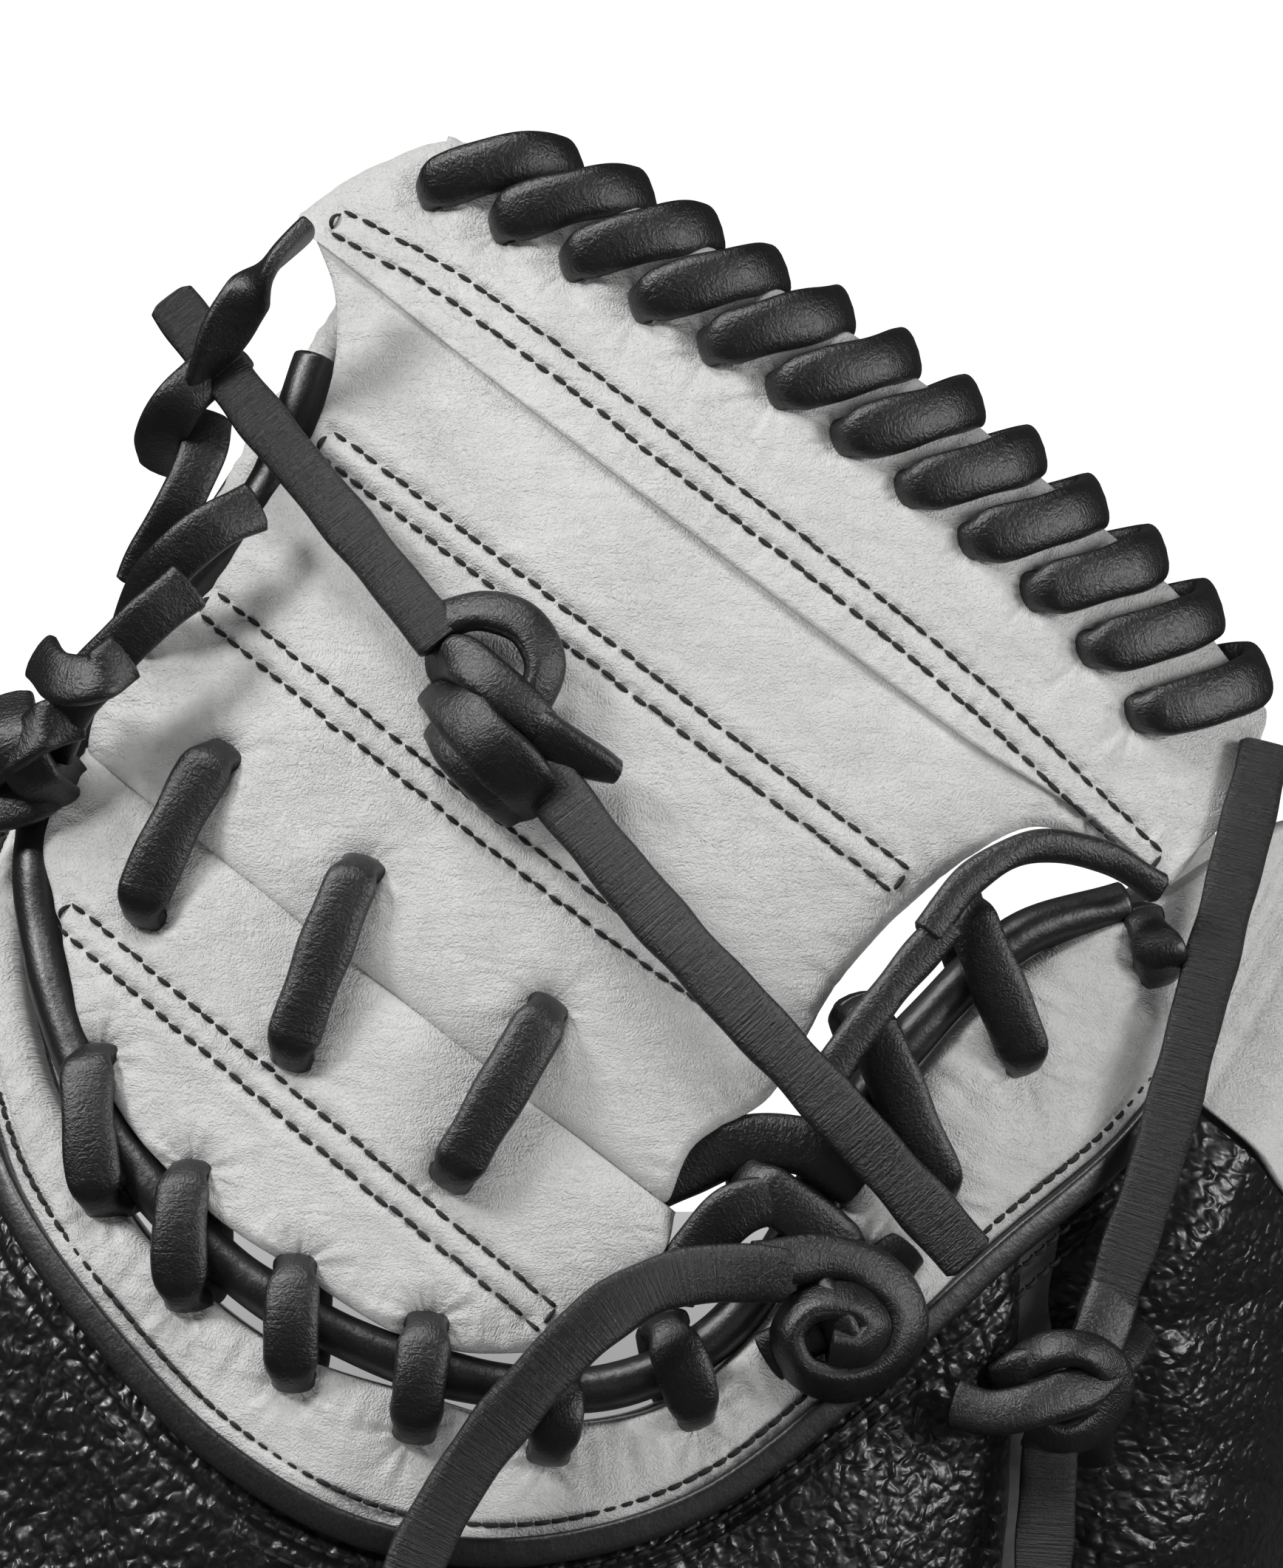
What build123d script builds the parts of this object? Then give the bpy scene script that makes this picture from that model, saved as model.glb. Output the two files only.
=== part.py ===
from build123d import *
import math
import os

# A baseball catcher's mitt for the left hand, seen from the back of the hand, standing on its heel.
# +X runs towards the thumb side, +Y towards the pocket and the palm side, +Z up to the web's rim.
# The origin is on the heel's flat rest face, on the fold line of the mitt. Millimetres.

# ---- driving dimensions ----
FOLD_RADIUS = 488.0        # the fold line, from heel to rim, is an arc of this radius in the XZ plane
LEATHER = 2.4              # thickness of a leather layer
SKIN_GAP = 0.4             # air between two flat layers that touch in the real mitt
PAD_GAP = 0.9              # the same round the padding, whose surfaces bend more
LACE_WIDTH = 8.0
LACE_THICKNESS = 2.2
ROLL_RADIUS = 3.2          # the round leather roll that runs along the web's edge
EDGE_ROLL_RADIUS = 2.6     # the welt along the outer edge of the palm
WEB_THICKNESS = 7.0
TAIL_RADIUS = 2.0          # the plain tube that stands for a free lace end
HEEL_THICKNESS = 70.0
HAND_SPACE = 27.5          # room for the hand between the back and the palm padding
FINGER_SPACE = 13.0        # room for the fingers and the thumb
LINING = 1.2               # thickness of a lining sleeve
THIN_PAD = 1.2             # the padding where it is thinnest
RIM_HOLE_INSET = 16.0      # from the rim to the lace holes below it
RIM_LACE_COUNT = 12
LOOP_RADIUS = 8.0

# ---- the back surface of the mitt ----
# Height is measured as an angle about the fold line's centre, in degrees, and the way round the
# hand is measured as a length from the fold line: negative on the finger side.
BACK_Y = [(0, -31), (4, -41), (10, -53), (16, -51), (22, -46), (28, -38), (34, -22), (37, -10)]
FINGER_HALF_WIDTH = [(0, 84), (6, 83), (12, 82), (18, 84), (22, 80), (26, 71), (34, 68)]
THUMB_HALF_WIDTH = [(0, 98), (6, 104), (12, 118), (18, 126), (23, 120), (29, 108), (36, 100)]
FINGER_BOW_RADIUS, FINGER_FLAT, FINGER_TURN = 125.0, 50.0, math.radians(96)
THUMB_BOW_RADIUS, THUMB_FLAT, THUMB_TURN = 230.0, 60.0, math.radians(93)

# ---- the body of the mitt is a U about the web ----
# The first number runs round the U from the finger tips (0) past the heel to the thumb's tip (1).
INNER_EDGE = [(0.00, -80, 34.0), (0.08, -84, 30.0), (0.16, -86, 25.5), (0.24, -80, 21.0),
              (0.30, -67, 19.3), (0.35, -55, 18.3), (0.40, -38, 17.1), (0.47, -15.5, 16.2),
              (0.53, 5, 16.1), (0.59, 23, 16.2), (0.65, 40, 17.3), (0.72, 51, 20.0),
              (0.79, 54, 23.1), (0.86, 60, 26.0), (0.93, 67, 27.6), (1.00, 75, 28.9)]
GUSSET_EDGE = [(0.00, -104, 34.0), (0.08, -104, 30.0), (0.16, -100, 24.6), (0.24, -88, 20.4),
               (0.30, -71, 18.4), (0.35, -60, 17.2), (0.40, -43, 15.9), (0.47, -20, 14.45),
               (0.53, 3, 13.75), (0.59, 26, 14.15), (0.65, 47, 15.7), (0.72, 63, 18.5),
               (0.79, 77, 21.8), (0.86, 90, 25.0), (0.93, 96, 29.0), (1.00, 97, 32.2)]
OUTER_EDGE = [(0.00, -140, 32.0), (0.08, -160, 28.0), (0.16, -172, 23.0), (0.24, -174, 17.0),
              (0.30, -165, 12.0), (0.35, -148, 8.0), (0.40, -118, 4.2), (0.45, -76, 0.9),
              (0.50, -50, -0.5), (0.56, -12, -0.6), (0.617, 30, -0.6), (0.65, 56, -0.3),
              (0.68, 88, 1.6), (0.72, 126, 5.0), (0.79, 165, 12.0), (0.86, 180, 19.5),
              (0.93, 175, 25.5), (1.00, 152, 30.0)]
LOBE_THICKNESS = [(0.0, 26), (0.16, 32), (0.3, 35), (0.45, 38), (0.65, 36), (0.86, 35), (1.0, 28)]
CREASE = 0.617             # where the palm folds when the mitt closes
SECTIONS = 59              # the palm's layers share the same sections round the U
CREASE_HALF_WIDTH = 0.02
EDGE_THICKNESS = 9.0       # body thickness where it meets the web

# ---- the web, as outlines in the XZ plane ----
RIM = [(6, 300), (15, 306), (27.5, 310), (50, 302), (74, 288), (93, 275.6), (112, 260.5),
       (129.5, 246), (137.6, 236), (143, 229)]
UPPER_LEFT = [(-24, 225), (-19.4, 234.7), (-7.4, 244.5), (2.3, 260), (7.6, 267.5), (10.5, 276),
              (10.5, 288), (6, 300)]
UPPER_RIGHT = [(59.8, 161), (62, 168), (72.6, 175), (81.7, 189.6), (92.7, 201.8), (108.6, 212),
               (120.7, 208.5), (129, 204), (136.6, 214), (143, 229)]
UPPER_FOLD = [(-24, 225), (59.8, 161)]
BAND_EDGE = [(7, 296.6), (38.7, 271), (98.5, 225.5), (116.5, 214), (127.5, 205)]
MOON_FOLD = [(-26.3, 222.6), (58.6, 157.4)]
MOON_LEFT = [(-23, 181), (-28, 201.5), (-30, 210), (-26.3, 222.6)]
MOON_BOTTOM = [(-23, 181), (-16.4, 170.4), (-4.7, 158.8), (6, 151.7), (20, 143), (30, 140), (41.6, 140)]
MOON_RIGHT = [(41.6, 140), (48, 147), (57.8, 153.5), (58.6, 157.4)]

# Lace loops, each from its hole in one piece to its hole in the next.
JOINER_LOOPS = [((-4, 222.6), (-15, 200)), ((15.8, 207), (6, 180.4)), ((41.8, 187.4), (28.2, 164))]
PERIMETER_LOOPS = [((-21.6, 181), (-20, 160)), ((-8, 165), (-8.6, 147)), ((7, 152), (6.6, 136)),
                   ((25, 144), (23.3, 129)), ((43.4, 137), (41.8, 126)), ((58, 143.6), (62.3, 130.6)),
                   ((69.4, 164), (84, 153)), ((85, 187), (96, 161)), ((99, 202), (108, 179)),
                   ((125, 199), (127, 191))]
ROLL_PATH = [(7, 279), (-1, 258), (-17, 240), (-30, 222), (-32, 204), (-27, 184), (-17, 166),
             (-2, 151), (16, 141), (34, 135.5), (51, 135), (66, 142), (77, 157), (84, 171),
             (94, 184), (108, 196.5), (123, 201)]

# Free lace ends: how their middle lines look from straight behind, with each point's height off the leather.
CENTRE_TAIL_UPPER = [(27, 238, 5), (11.6, 257, 8), (-1.1, 272.2, 10), (-11.7, 286.5, 12)]
CENTRE_TAIL_LONG = [(39.4, 221.6, 4), (52.1, 205.1, 6), (67.2, 188.7, 8), (85, 169.7, 9), (100, 152.5, 8)]
CROTCH_TAIL = [(75, 150.5, 6), (63.4, 152, 8), (50.8, 147.5, 9), (39.4, 136, 8), (29.3, 123, 6),
               (21.5, 108, 6), (17.5, 88, 6), (18, 66, 6), (22, 48, 8)]
THUMB_STRAP = [(142.5, 224, 6.5), (137.5, 204.7, 7), (132.5, 187.3, 8), (127.8, 169.3, 8), (122, 151.8, 7),
               (118.5, 143, 6)]
THUMB_TAIL = [(111.5, 127.5, 6), (110.6, 111, 8), (109, 92, 9), (106, 73, 10), (104, 56, 11)]

TAB_SPAN = (-44.0, 4.0)    # the pull tab, along the strap
STRAP_BAND = (1.9, 5.6)    # the wrist strap's lower and upper edge, in degrees


def through(points, at, column=1):
    """A smooth curve through a list of points, read at one place."""
    last = len(points) - 2
    i = max([k for k in range(last + 1) if points[k][0] <= at] or [0])
    x0, y0 = points[i][0], points[i][column]
    x1, y1 = points[i + 1][0], points[i + 1][column]
    span = x1 - x0
    start_slope = end_slope = (y1 - y0) / span
    if i > 0:
        start_slope = (y1 - points[i - 1][column]) / (x1 - points[i - 1][0])
    if i < last:
        end_slope = (points[i + 2][column] - y0) / (points[i + 2][0] - x0)
    t = (at - x0) / span
    rise = y0 * (2 * t**3 - 3 * t * t + 1) + y1 * (3 * t * t - 2 * t**3)
    return rise + span * (start_slope * (t**3 - 2 * t * t + t) + end_slope * (t**3 - t * t))


def ease(value):
    """0 below 0, 1 above 1 and a smooth step between."""
    value = min(1.0, max(0.0, value))
    return value * value * (3 - 2 * value)


def place(across, height_angle, depth):
    """A point from its distance across the fold line, its height angle and its depth in Y."""
    angle = math.radians(height_angle)
    reach = FOLD_RADIUS - across
    return (FOLD_RADIUS - reach * math.cos(angle), depth, reach * math.sin(angle))


def bow_side(negative):
    if negative:
        return FINGER_BOW_RADIUS, FINGER_FLAT, FINGER_TURN, FINGER_HALF_WIDTH
    return THUMB_BOW_RADIUS, THUMB_FLAT, THUMB_TURN, THUMB_HALF_WIDTH


def body_point(along, height_angle, inward):
    """A point on the body: `along` the back from the fold line, `inward` of its outer surface."""
    bow, flat, turn, half_width = bow_side(along < 0)
    sign = -1 if along < 0 else 1
    length = abs(along)
    start = flat / bow
    across = bow * math.sin(min(length, flat) / bow)
    depth = bow * (1 - math.cos(min(length, flat) / bow))
    slope = min(length, flat) / bow
    if length > flat:
        radius = (through(half_width, height_angle) - across) / (1 - math.sin(start))
        slope = min(turn, start + (length - flat) / radius)
        rest = max(0.0, length - flat - radius * (turn - start))
        across += radius * (math.sin(slope) - math.sin(start)) + rest * math.cos(slope)
        depth += radius * (math.cos(start) - math.cos(slope)) + rest * math.sin(slope)
    across -= inward * math.sin(slope)
    depth += inward * math.cos(slope)
    return place(sign * across, height_angle, through(BACK_Y, height_angle) + depth)


def web_point(x, z, inward):
    """A point of the web above a place in the XZ plane, `inward` of its back surface."""
    across = FOLD_RADIUS - math.hypot(FOLD_RADIUS - x, z)
    height_angle = math.degrees(math.atan2(z, FOLD_RADIUS - x))
    bow = bow_side(across < 0)[0]
    slope = math.asin(across / bow)
    depth = through(BACK_Y, height_angle) + bow * (1 - math.cos(slope)) + inward * math.cos(slope)
    return place(across - inward * math.sin(slope), height_angle, depth)


def u_place(round_u, out):
    """Where a place of the U is on the back: `out` is 0 at the web and 1 at the outer edge."""
    corners = [[through(edge, round_u, c) for c in (1, 2)] for edge in (INNER_EDGE, GUSSET_EDGE, OUTER_EDGE)]
    seam = seam_fraction(round_u)
    return [through([(0, corners[0][c]), (seam, corners[1][c]), (1, corners[2][c])], out) for c in (0, 1)]


def seam_fraction(round_u):
    """The part of the way out at which the pale gusset ends."""
    corners = [[through(edge, round_u, c) for c in (1, 2)] for edge in (INNER_EDGE, GUSSET_EDGE, OUTER_EDGE)]
    degree = math.radians(FOLD_RADIUS)
    steps = [math.hypot(b[0] - a[0], degree * (b[1] - a[1])) for a, b in zip(corners, corners[1:])]
    return steps[0] / (steps[0] + steps[1])


def thickness(round_u, out):
    """The body's thickness from its back surface to its palm surface."""
    along = abs(u_place(round_u, out)[0])
    lobe = through(LOBE_THICKNESS, round_u)
    full = lobe + (HEEL_THICKNESS - lobe) * (1 - ease((along - 28) / 42))
    full *= 1 - 0.33 * math.exp(-((round_u - CREASE) / CREASE_HALF_WIDTH) ** 2)
    heel = ease((round_u - 0.4) / 0.06) * ease((0.68 - round_u) / 0.04)
    full *= 1 - (0.3 - 0.3 * heel) * ease((out - 0.75) / 0.25)
    return EDGE_THICKNESS + (full - EDGE_THICKNESS) * ease(out / 0.5)


def hand_space(round_u, out):
    """How far inward the padding starts, which leaves room for the hand and its fingers."""
    middle = ease((round_u - 0.35) / 0.07) * ease((0.71 - round_u) / 0.06) * ease((out - 0.22) / 0.22)
    fingers = ease((round_u - 0.06) / 0.06) * ease((0.9 - round_u) / 0.06)
    fingers *= ease((out - 0.16) / 0.16) * ease((0.9 - out) / 0.1)
    room = max((HAND_SPACE - LEATHER) * middle, FINGER_SPACE * fingers)
    return LEATHER + 2 * SKIN_GAP + room


def grid_face(surface, rows, columns):
    points = [[surface(a / (rows - 1), b / (columns - 1)) for b in range(columns)] for a in range(rows)]
    return Face.make_surface_from_array_of_points(points, tol=0.1, min_deg=2, max_deg=2)


def layer(back, front, rows=24, columns=10):
    """A closed solid between two smooth surfaces that share their parameters."""
    faces = [grid_face(back, rows, columns), grid_face(front, rows, columns)]
    sides = [Face.make_surface_from_curves(*pair) for pair in zip(faces[0].edges(), faces[1].edges())]
    return Solid(Shell(faces + sides))


def body_layer(round_span, out_span, back_depth, front_depth, rows=24, columns=10):
    """A piece of the U-shaped body between two depths, each a number or a function of the place."""
    def surface(depth):
        def point(a, b):
            round_u = round_span[0] + (round_span[1] - round_span[0]) * a
            low, high = [span(round_u) if callable(span) else span for span in out_span]
            out = low + (high - low) * b
            along, height_angle = u_place(round_u, out)
            inward = depth(round_u, out) if callable(depth) else depth
            return body_point(along, height_angle, inward)
        return point
    return layer(surface(back_depth), surface(front_depth), rows, columns)


def along_outline(points, fraction):
    """The point a fraction of the way along a smooth outline through a list of points."""
    lengths = [0.0]
    for a, b in zip(points, points[1:]):
        lengths.append(lengths[-1] + math.dist(a, b))
    at = fraction * lengths[-1]
    return tuple(through([(length, point[c]) for length, point in zip(lengths, points)], at) for c in (0, 1))


def web_layer(lower, upper, left, right, back_depth, front_depth, rows=30, columns=16):
    """A layer of the web filled in between four outlines."""
    def plan(a, b):
        low, high = along_outline(lower, a), along_outline(upper, a)
        west, east = along_outline(left, b), along_outline(right, b)
        corners = (lower[0], lower[-1], upper[0], upper[-1])
        weights = ((1 - a) * (1 - b), a * (1 - b), (1 - a) * b, a * b)
        return [low[c] * (1 - b) + high[c] * b + west[c] * (1 - a) + east[c] * a
                - sum(w * corner[c] for w, corner in zip(weights, corners)) for c in (0, 1)]

    def surface(depth):
        return lambda a, b: web_point(*plan(a, b), depth)
    return layer(surface(back_depth), surface(front_depth), rows, columns)


def tube(points, radius, share=0.45):
    """A round tube along straight runs joined by tangent arcs; gives the tube and its arc radii."""
    runs = [Vector(*b) - Vector(*a) for a, b in zip(points, points[1:])]
    radii = []
    for before, after in zip(runs, runs[1:]):
        turn = math.radians(before.get_angle(after))
        radii.append(share * min(before.length, after.length) / math.tan(turn / 2))
    path = FilletPolyline(*points, radius=radii)
    section = Plane(origin=path @ 0, z_dir=path % 0) * Circle(radius)
    return sweep(section, path=path), radii, path.length


def lace_loop(start, end, width=LACE_WIDTH, back=-0.9, front=WEB_THICKNESS + 0.9):
    """A flat lace wound once round a leather edge, between two points of its back surface."""
    span = Vector(*end) - Vector(*start)
    outward = Vector(0, -1, 0)
    outward = (outward - span.normalized() * outward.dot(span.normalized())).normalized()
    middle = (Vector(*start) + Vector(*end)) * 0.5 - outward * ((back + front) / 2)
    depth = front - back
    ring = Box(span.length + 2 * LACE_THICKNESS, width, depth + 2 * LACE_THICKNESS)
    ring = fillet(ring.edges().filter_by(Axis.Y), 2.0) - Box(span.length, width + 2, depth)
    return Plane(origin=middle, x_dir=span, z_dir=outward) * ring


def knot(centre, facing, size=6.0):
    """A tight overhand knot in flat lace, as three fat rings wound through each other."""
    frame = Plane(origin=Vector(*centre), z_dir=Vector(*facing))
    thick = size * 0.42
    rings = [frame * Location((0, size * 0.35 * side, 0), (35 * side, 20 * side, 0)) * Torus(size, thick)
             for side in (-1, 1)]
    band = frame * Location((0, 0, 0), (0, 90, 40)) * Torus(size * 0.9, thick * 0.9)
    return rings[0] + rings[1] + band


def above(point, rise):
    return web_point(point[0], point[1], -rise)


def off_body(x, z, rise):
    """A point standing off the body's back above a place in the XZ plane."""
    across = FOLD_RADIUS - math.hypot(FOLD_RADIUS - x, z)
    height_angle = math.degrees(math.atan2(z, FOLD_RADIUS - x))
    low, high = 0.0, 140.0
    for _ in range(40):
        middle = (low + high) / 2
        spot = body_point(math.copysign(middle, across), height_angle, 0)
        reached = FOLD_RADIUS - math.hypot(FOLD_RADIUS - spot[0], spot[2])
        low, high = (middle, high) if abs(reached) < abs(across) else (low, middle)
    return body_point(math.copysign(low, across), height_angle, -rise)


def above_floor(solid):
    """What is left of a solid above the surface that the heel stands on."""
    return solid - Pos(0, 0, -50) * Box(600, 600, 100)


# ---- the leather body ----
def palm_layer(first, last, out_span, back, front):
    """A layer of the palm between two of the shared sections."""
    return body_layer((first / SECTIONS, last / SECTIONS), out_span, back, front, last - first + 1, 14)


def palm_front(round_u, out):
    return thickness(round_u, out)


def palm_shell():
    back = lambda q, r: thickness(q, r) - LEATHER
    return above_floor(palm_layer(0, SECTIONS, (0, 1), back, palm_front))


def palm_lining():
    back = lambda q, r: thickness(q, r) - LEATHER - PAD_GAP - LINING
    front = lambda q, r: thickness(q, r) - LEATHER - PAD_GAP
    return above_floor(palm_layer(1, SECTIONS - 1, (0.03, 0.96), back, front))


def pad(first, last, out_span=(0.15, 0.95)):
    front = lambda q, r: thickness(q, r) - LEATHER - 3 * PAD_GAP - LINING
    back = lambda q, r: min(hand_space(q, r) + PAD_GAP, front(q, r) - THIN_PAD)
    return above_floor(palm_layer(first, last, out_span, back, front))


def seam_plus(amount):
    return lambda round_u: seam_fraction(round_u) + amount


def back_shell(round_span, lower=0.995):
    return body_layer(round_span, (seam_plus(0.012), lower), 0.0, LEATHER, 30, 12)


def web_gusset():
    return body_layer((0, 1), (0, seam_plus(-0.004)), 0.0, LEATHER, 60, 6)


def gusset_binding():
    return body_layer((0.02, 0.9), (seam_plus(-0.016), seam_plus(0.016)), -1.9, -0.3, 60, 4)


def edge_roll(round_span, out=1.0):
    points = []
    steps = 22
    for k in range(steps + 1):
        round_u = round_span[0] + (round_span[1] - round_span[0]) * k / steps
        along, height_angle = u_place(round_u, out)
        point = body_point(along, height_angle, thickness(round_u, out) - LEATHER / 2)
        points.append((point[0], point[1] + EDGE_ROLL_RADIUS + 1.6, max(point[2], EDGE_ROLL_RADIUS + 0.4)))
    return tube(points, EDGE_ROLL_RADIUS)[0]


# ---- lining, straps and loops for the hand ----
def stall(tip, mouth, out_span):
    """A lining sleeve round a finger, closed at its tip and open at its mouth."""
    front = lambda q, r: hand_space(q, r) - SKIN_GAP
    room_front = lambda q, r: front(q, r) - LINING
    step = math.copysign(0.008, mouth - tip)
    sleeve = body_layer((tip, mouth), out_span, LEATHER + SKIN_GAP, front, 10, 5)
    inside = (out_span[0] + 0.014, out_span[1] - 0.014)
    room = body_layer((tip + step, mouth + step), inside, LEATHER + SKIN_GAP + LINING, room_front, 10, 5)
    return sleeve - room


def surface_strap(along_span, height_span, back_depth, front_depth, rows=16):
    def surface(depth):
        def point(a, b):
            along = along_span[0] + (along_span[1] - along_span[0]) * a
            height_angle = height_span[0] + (height_span[1] - height_span[0]) * b
            return body_point(along, height_angle, depth)
        return point
    return layer(surface(back_depth), surface(front_depth), rows, 6)


def hand_loop(along, height_angle, length=15.0):
    """A leather loop inside the glove that holds the thumb or the little finger."""
    foot = body_point(along, height_angle, LEATHER + LOOP_RADIUS + 2.5)
    ring = Cylinder(LOOP_RADIUS, length) - Cylinder(LOOP_RADIUS - 1.8, 2 * length)
    return Pos(*foot) * Rot(0, height_angle, 0) * ring


# ---- the web ----
def web_piece(name):
    inset_rim = [(x - 1.0, z - 2.6) for x, z in RIM]
    left = UPPER_LEFT[:-1] + inset_rim[:1]
    right = UPPER_RIGHT[:-1] + inset_rim[-1:]
    depths = {"back": (0.0, LEATHER), "front": (WEB_THICKNESS - LEATHER, WEB_THICKNESS),
              "core": (LEATHER + SKIN_GAP, WEB_THICKNESS - LEATHER - SKIN_GAP)}
    kind, side = name
    if kind == "upper":
        return web_layer(UPPER_FOLD, inset_rim, left, right, *depths[side])
    return web_layer(MOON_BOTTOM, MOON_FOLD, MOON_LEFT, MOON_RIGHT, *depths[side])


def rim_band():
    """The leather folded over the rim: a back leaf, a front leaf and the fold itself."""
    left, right = [BAND_EDGE[0], RIM[0]], [BAND_EDGE[-1], (136.6, 214), RIM[-1]]
    near, far = 0.6, 2.0
    leaves = [web_layer(BAND_EDGE, RIM, left, right, -far, -near, 30, 8),
              web_layer(BAND_EDGE, RIM, left, right, WEB_THICKNESS + near, WEB_THICKNESS + far, 30, 8)]
    crown = [(x + 0.4, z + 0.9) for x, z in RIM]
    low = [(x, z - 0.7) for x, z in RIM]
    fold = web_layer(low, crown, [low[0], crown[0]], [low[-1], crown[-1]], 1 - near, WEB_THICKNESS + near - 1, 30, 4)
    return Compound(children=leaves + [fold])


def rim_holes():
    """Each rim lace as its hole and the place where it passes over the rim."""
    pairs = []
    for k in range(RIM_LACE_COUNT):
        fraction = 0.215 + 0.745 * k / (RIM_LACE_COUNT - 1)
        over = along_outline(RIM, fraction)
        lean = math.radians(17)
        reach = RIM_HOLE_INSET / math.sin(math.radians(52))
        pairs.append(((over[0] - reach * math.cos(lean), over[1] - reach * math.sin(lean)), over))
    return pairs


def loops(pairs, from_point, to_point, **sizes):
    return Compound(children=[lace_loop(from_point(a), to_point(b), **sizes) for a, b in pairs])


def roll():
    points = [web_point(x, z, WEB_THICKNESS / 2) for x, z in ROLL_PATH]
    return tube(points, ROLL_RADIUS)[0]


def in_line(off, x, z, rise):
    """The point standing off a surface that is seen at (x, z) from straight behind."""
    aim_x, aim_z = x, z
    for _ in range(10):
        spot = off(aim_x, aim_z, rise)
        aim_x += x - spot[0]
        aim_z += z - spot[2]
    return off(aim_x, aim_z, rise)


def cord(name, route, off=off_body):
    """A free lace end as a plain tube; its route is (x, z, height off the leather)."""
    points = [in_line(off, x, z, rise) for x, z, rise in route]
    solid, radii, length = tube(points, TAIL_RADIUS)
    print(name, "radii", [round(r, 1) for r in radii], "length", round(length, 1))
    print("  route", [tuple(round(c, 1) for c in p) for p in points])
    return solid


def strap_tab():
    """The pull tab that closes the wrist strap, with its hook patch underneath."""
    return surface_strap(TAB_SPAN, (2.5, 5.0), -6.6, -4.2, 10)


def soft_nodes():
    """Leather, padding and lining."""
    return {
        "palm_shell": palm_shell(),
        "palm_lining": palm_lining(),
        "finger_pad": pad(1, 22),
        "heel_pad": pad(23, 35, (0.15, 0.985)),
        "thumb_pad": pad(39, 57, (seam_plus(0.07), 0.93)),
        "finger_back_shell": above_floor(back_shell((0.01, 0.607))) - hand_hole(),
        "thumb_back_shell": above_floor(back_shell((0.627, 0.875))) - hand_hole(),
        "thumb_tip_panel": body_layer((0.88, 0.995), (seam_plus(0.012), 0.995), 0.0, LEATHER, 12, 10),
        "web_gusset": web_gusset(),
        "gusset_binding": gusset_binding(),
        "palm_edge_roll": edge_roll((0.03, 0.97)),
        "finger_stalls": finger_stalls(),
        "thumb_stall": stall(0.84, 0.735, (0.3, 0.55)),
        "thumb_loop": hand_loop(54, 9.5),
        "little_finger_loop": hand_loop(-38, 9.5),
        "wrist_strap": surface_strap((-74, 84), STRAP_BAND, -3.0, -0.5, 30),
        "wrist_wool_pad": surface_strap((-56, 20), (2.2, 5.2), LEATHER + SKIN_GAP, LEATHER + 5.5, 16),
        "strap_loop_patch": surface_strap((TAB_SPAN[0] + 3, TAB_SPAN[1] - 3), (2.7, 4.8), -3.8, -3.2, 10),
        "strap_tab": strap_tab(),
    }


def finger_stalls():
    """Four sleeves for the fingers, side by side in the finger lobe."""
    edges = [0.26, 0.385, 0.51, 0.635, 0.76]
    return Compound(children=[stall(0.14, 0.33, (a + 0.006, b - 0.006)) for a, b in zip(edges, edges[1:])])


def hand_hole():
    """The oval hole in the back, above the wrist strap."""
    return Pos(8, -50, 76) * Rot(90, 0, 0) * extrude(Ellipse(34, 17), 40, both=True)


def web_nodes():
    """The web's leather and the roll round it."""
    return {
        "web_upper_back": web_piece(("upper", "back")),
        "web_upper_core": web_piece(("upper", "core")),
        "web_upper_front": web_piece(("upper", "front")),
        "half_moon_back": web_piece(("moon", "back")),
        "half_moon_core": web_piece(("moon", "core")),
        "half_moon_front": web_piece(("moon", "front")),
        "web_rim_band": rim_band(),
        "web_perimeter_roll": roll(),
    }


def lace_nodes():
    """Laces that tie the pieces together, the knots and the free ends."""
    flat = lambda point: web_point(point[0], point[1], 0)
    parts = {
        "web_rim_lace": loops(rim_holes(), flat, flat, back=-3.0, front=WEB_THICKNESS + 3.0),
        "web_joiner_lace": loops(JOINER_LOOPS, flat, flat),
        "web_perimeter_lace": loops(PERIMETER_LOOPS, flat, lambda point: off_body(*point, 0)),
        "centre_knot": knot(above((33.7, 231), 8.0), (0.1, -1, 0.1)),
        "crotch_knot": knot(off_body(81, 145, 8.0), (0.2, -1, 0)),
        "thumb_knot": knot(off_body(116, 137, 8.0), (0.3, -1, 0)),
        "finger_side_knot": knot((-10, -2, 268), (-0.6, -1, 0)),
        "finger_tip_knot": knot((-32, -8, 220), (-0.6, -1, 0)),
    }
    over_web = lambda x, z, rise: web_point(x, z, -rise)
    parts["centre_tail_upper"] = cord("centre_tail_upper", CENTRE_TAIL_UPPER, over_web)
    parts["centre_tail_long"] = cord("centre_tail_long", CENTRE_TAIL_LONG)
    parts["crotch_tail"] = cord("crotch_tail", CROTCH_TAIL)
    parts["thumb_strap"] = cord("thumb_strap", THUMB_STRAP)
    parts["thumb_tail"] = cord("thumb_tail", THUMB_TAIL)
    return parts


def build():
    return {**soft_nodes(), **web_nodes(), **lace_nodes()}


if __name__ == "__main__":
    os.makedirs("parts", exist_ok=True)
    for node, solid in build().items():
        export_step(solid, "parts/" + node + ".step")
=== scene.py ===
import math

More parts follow.
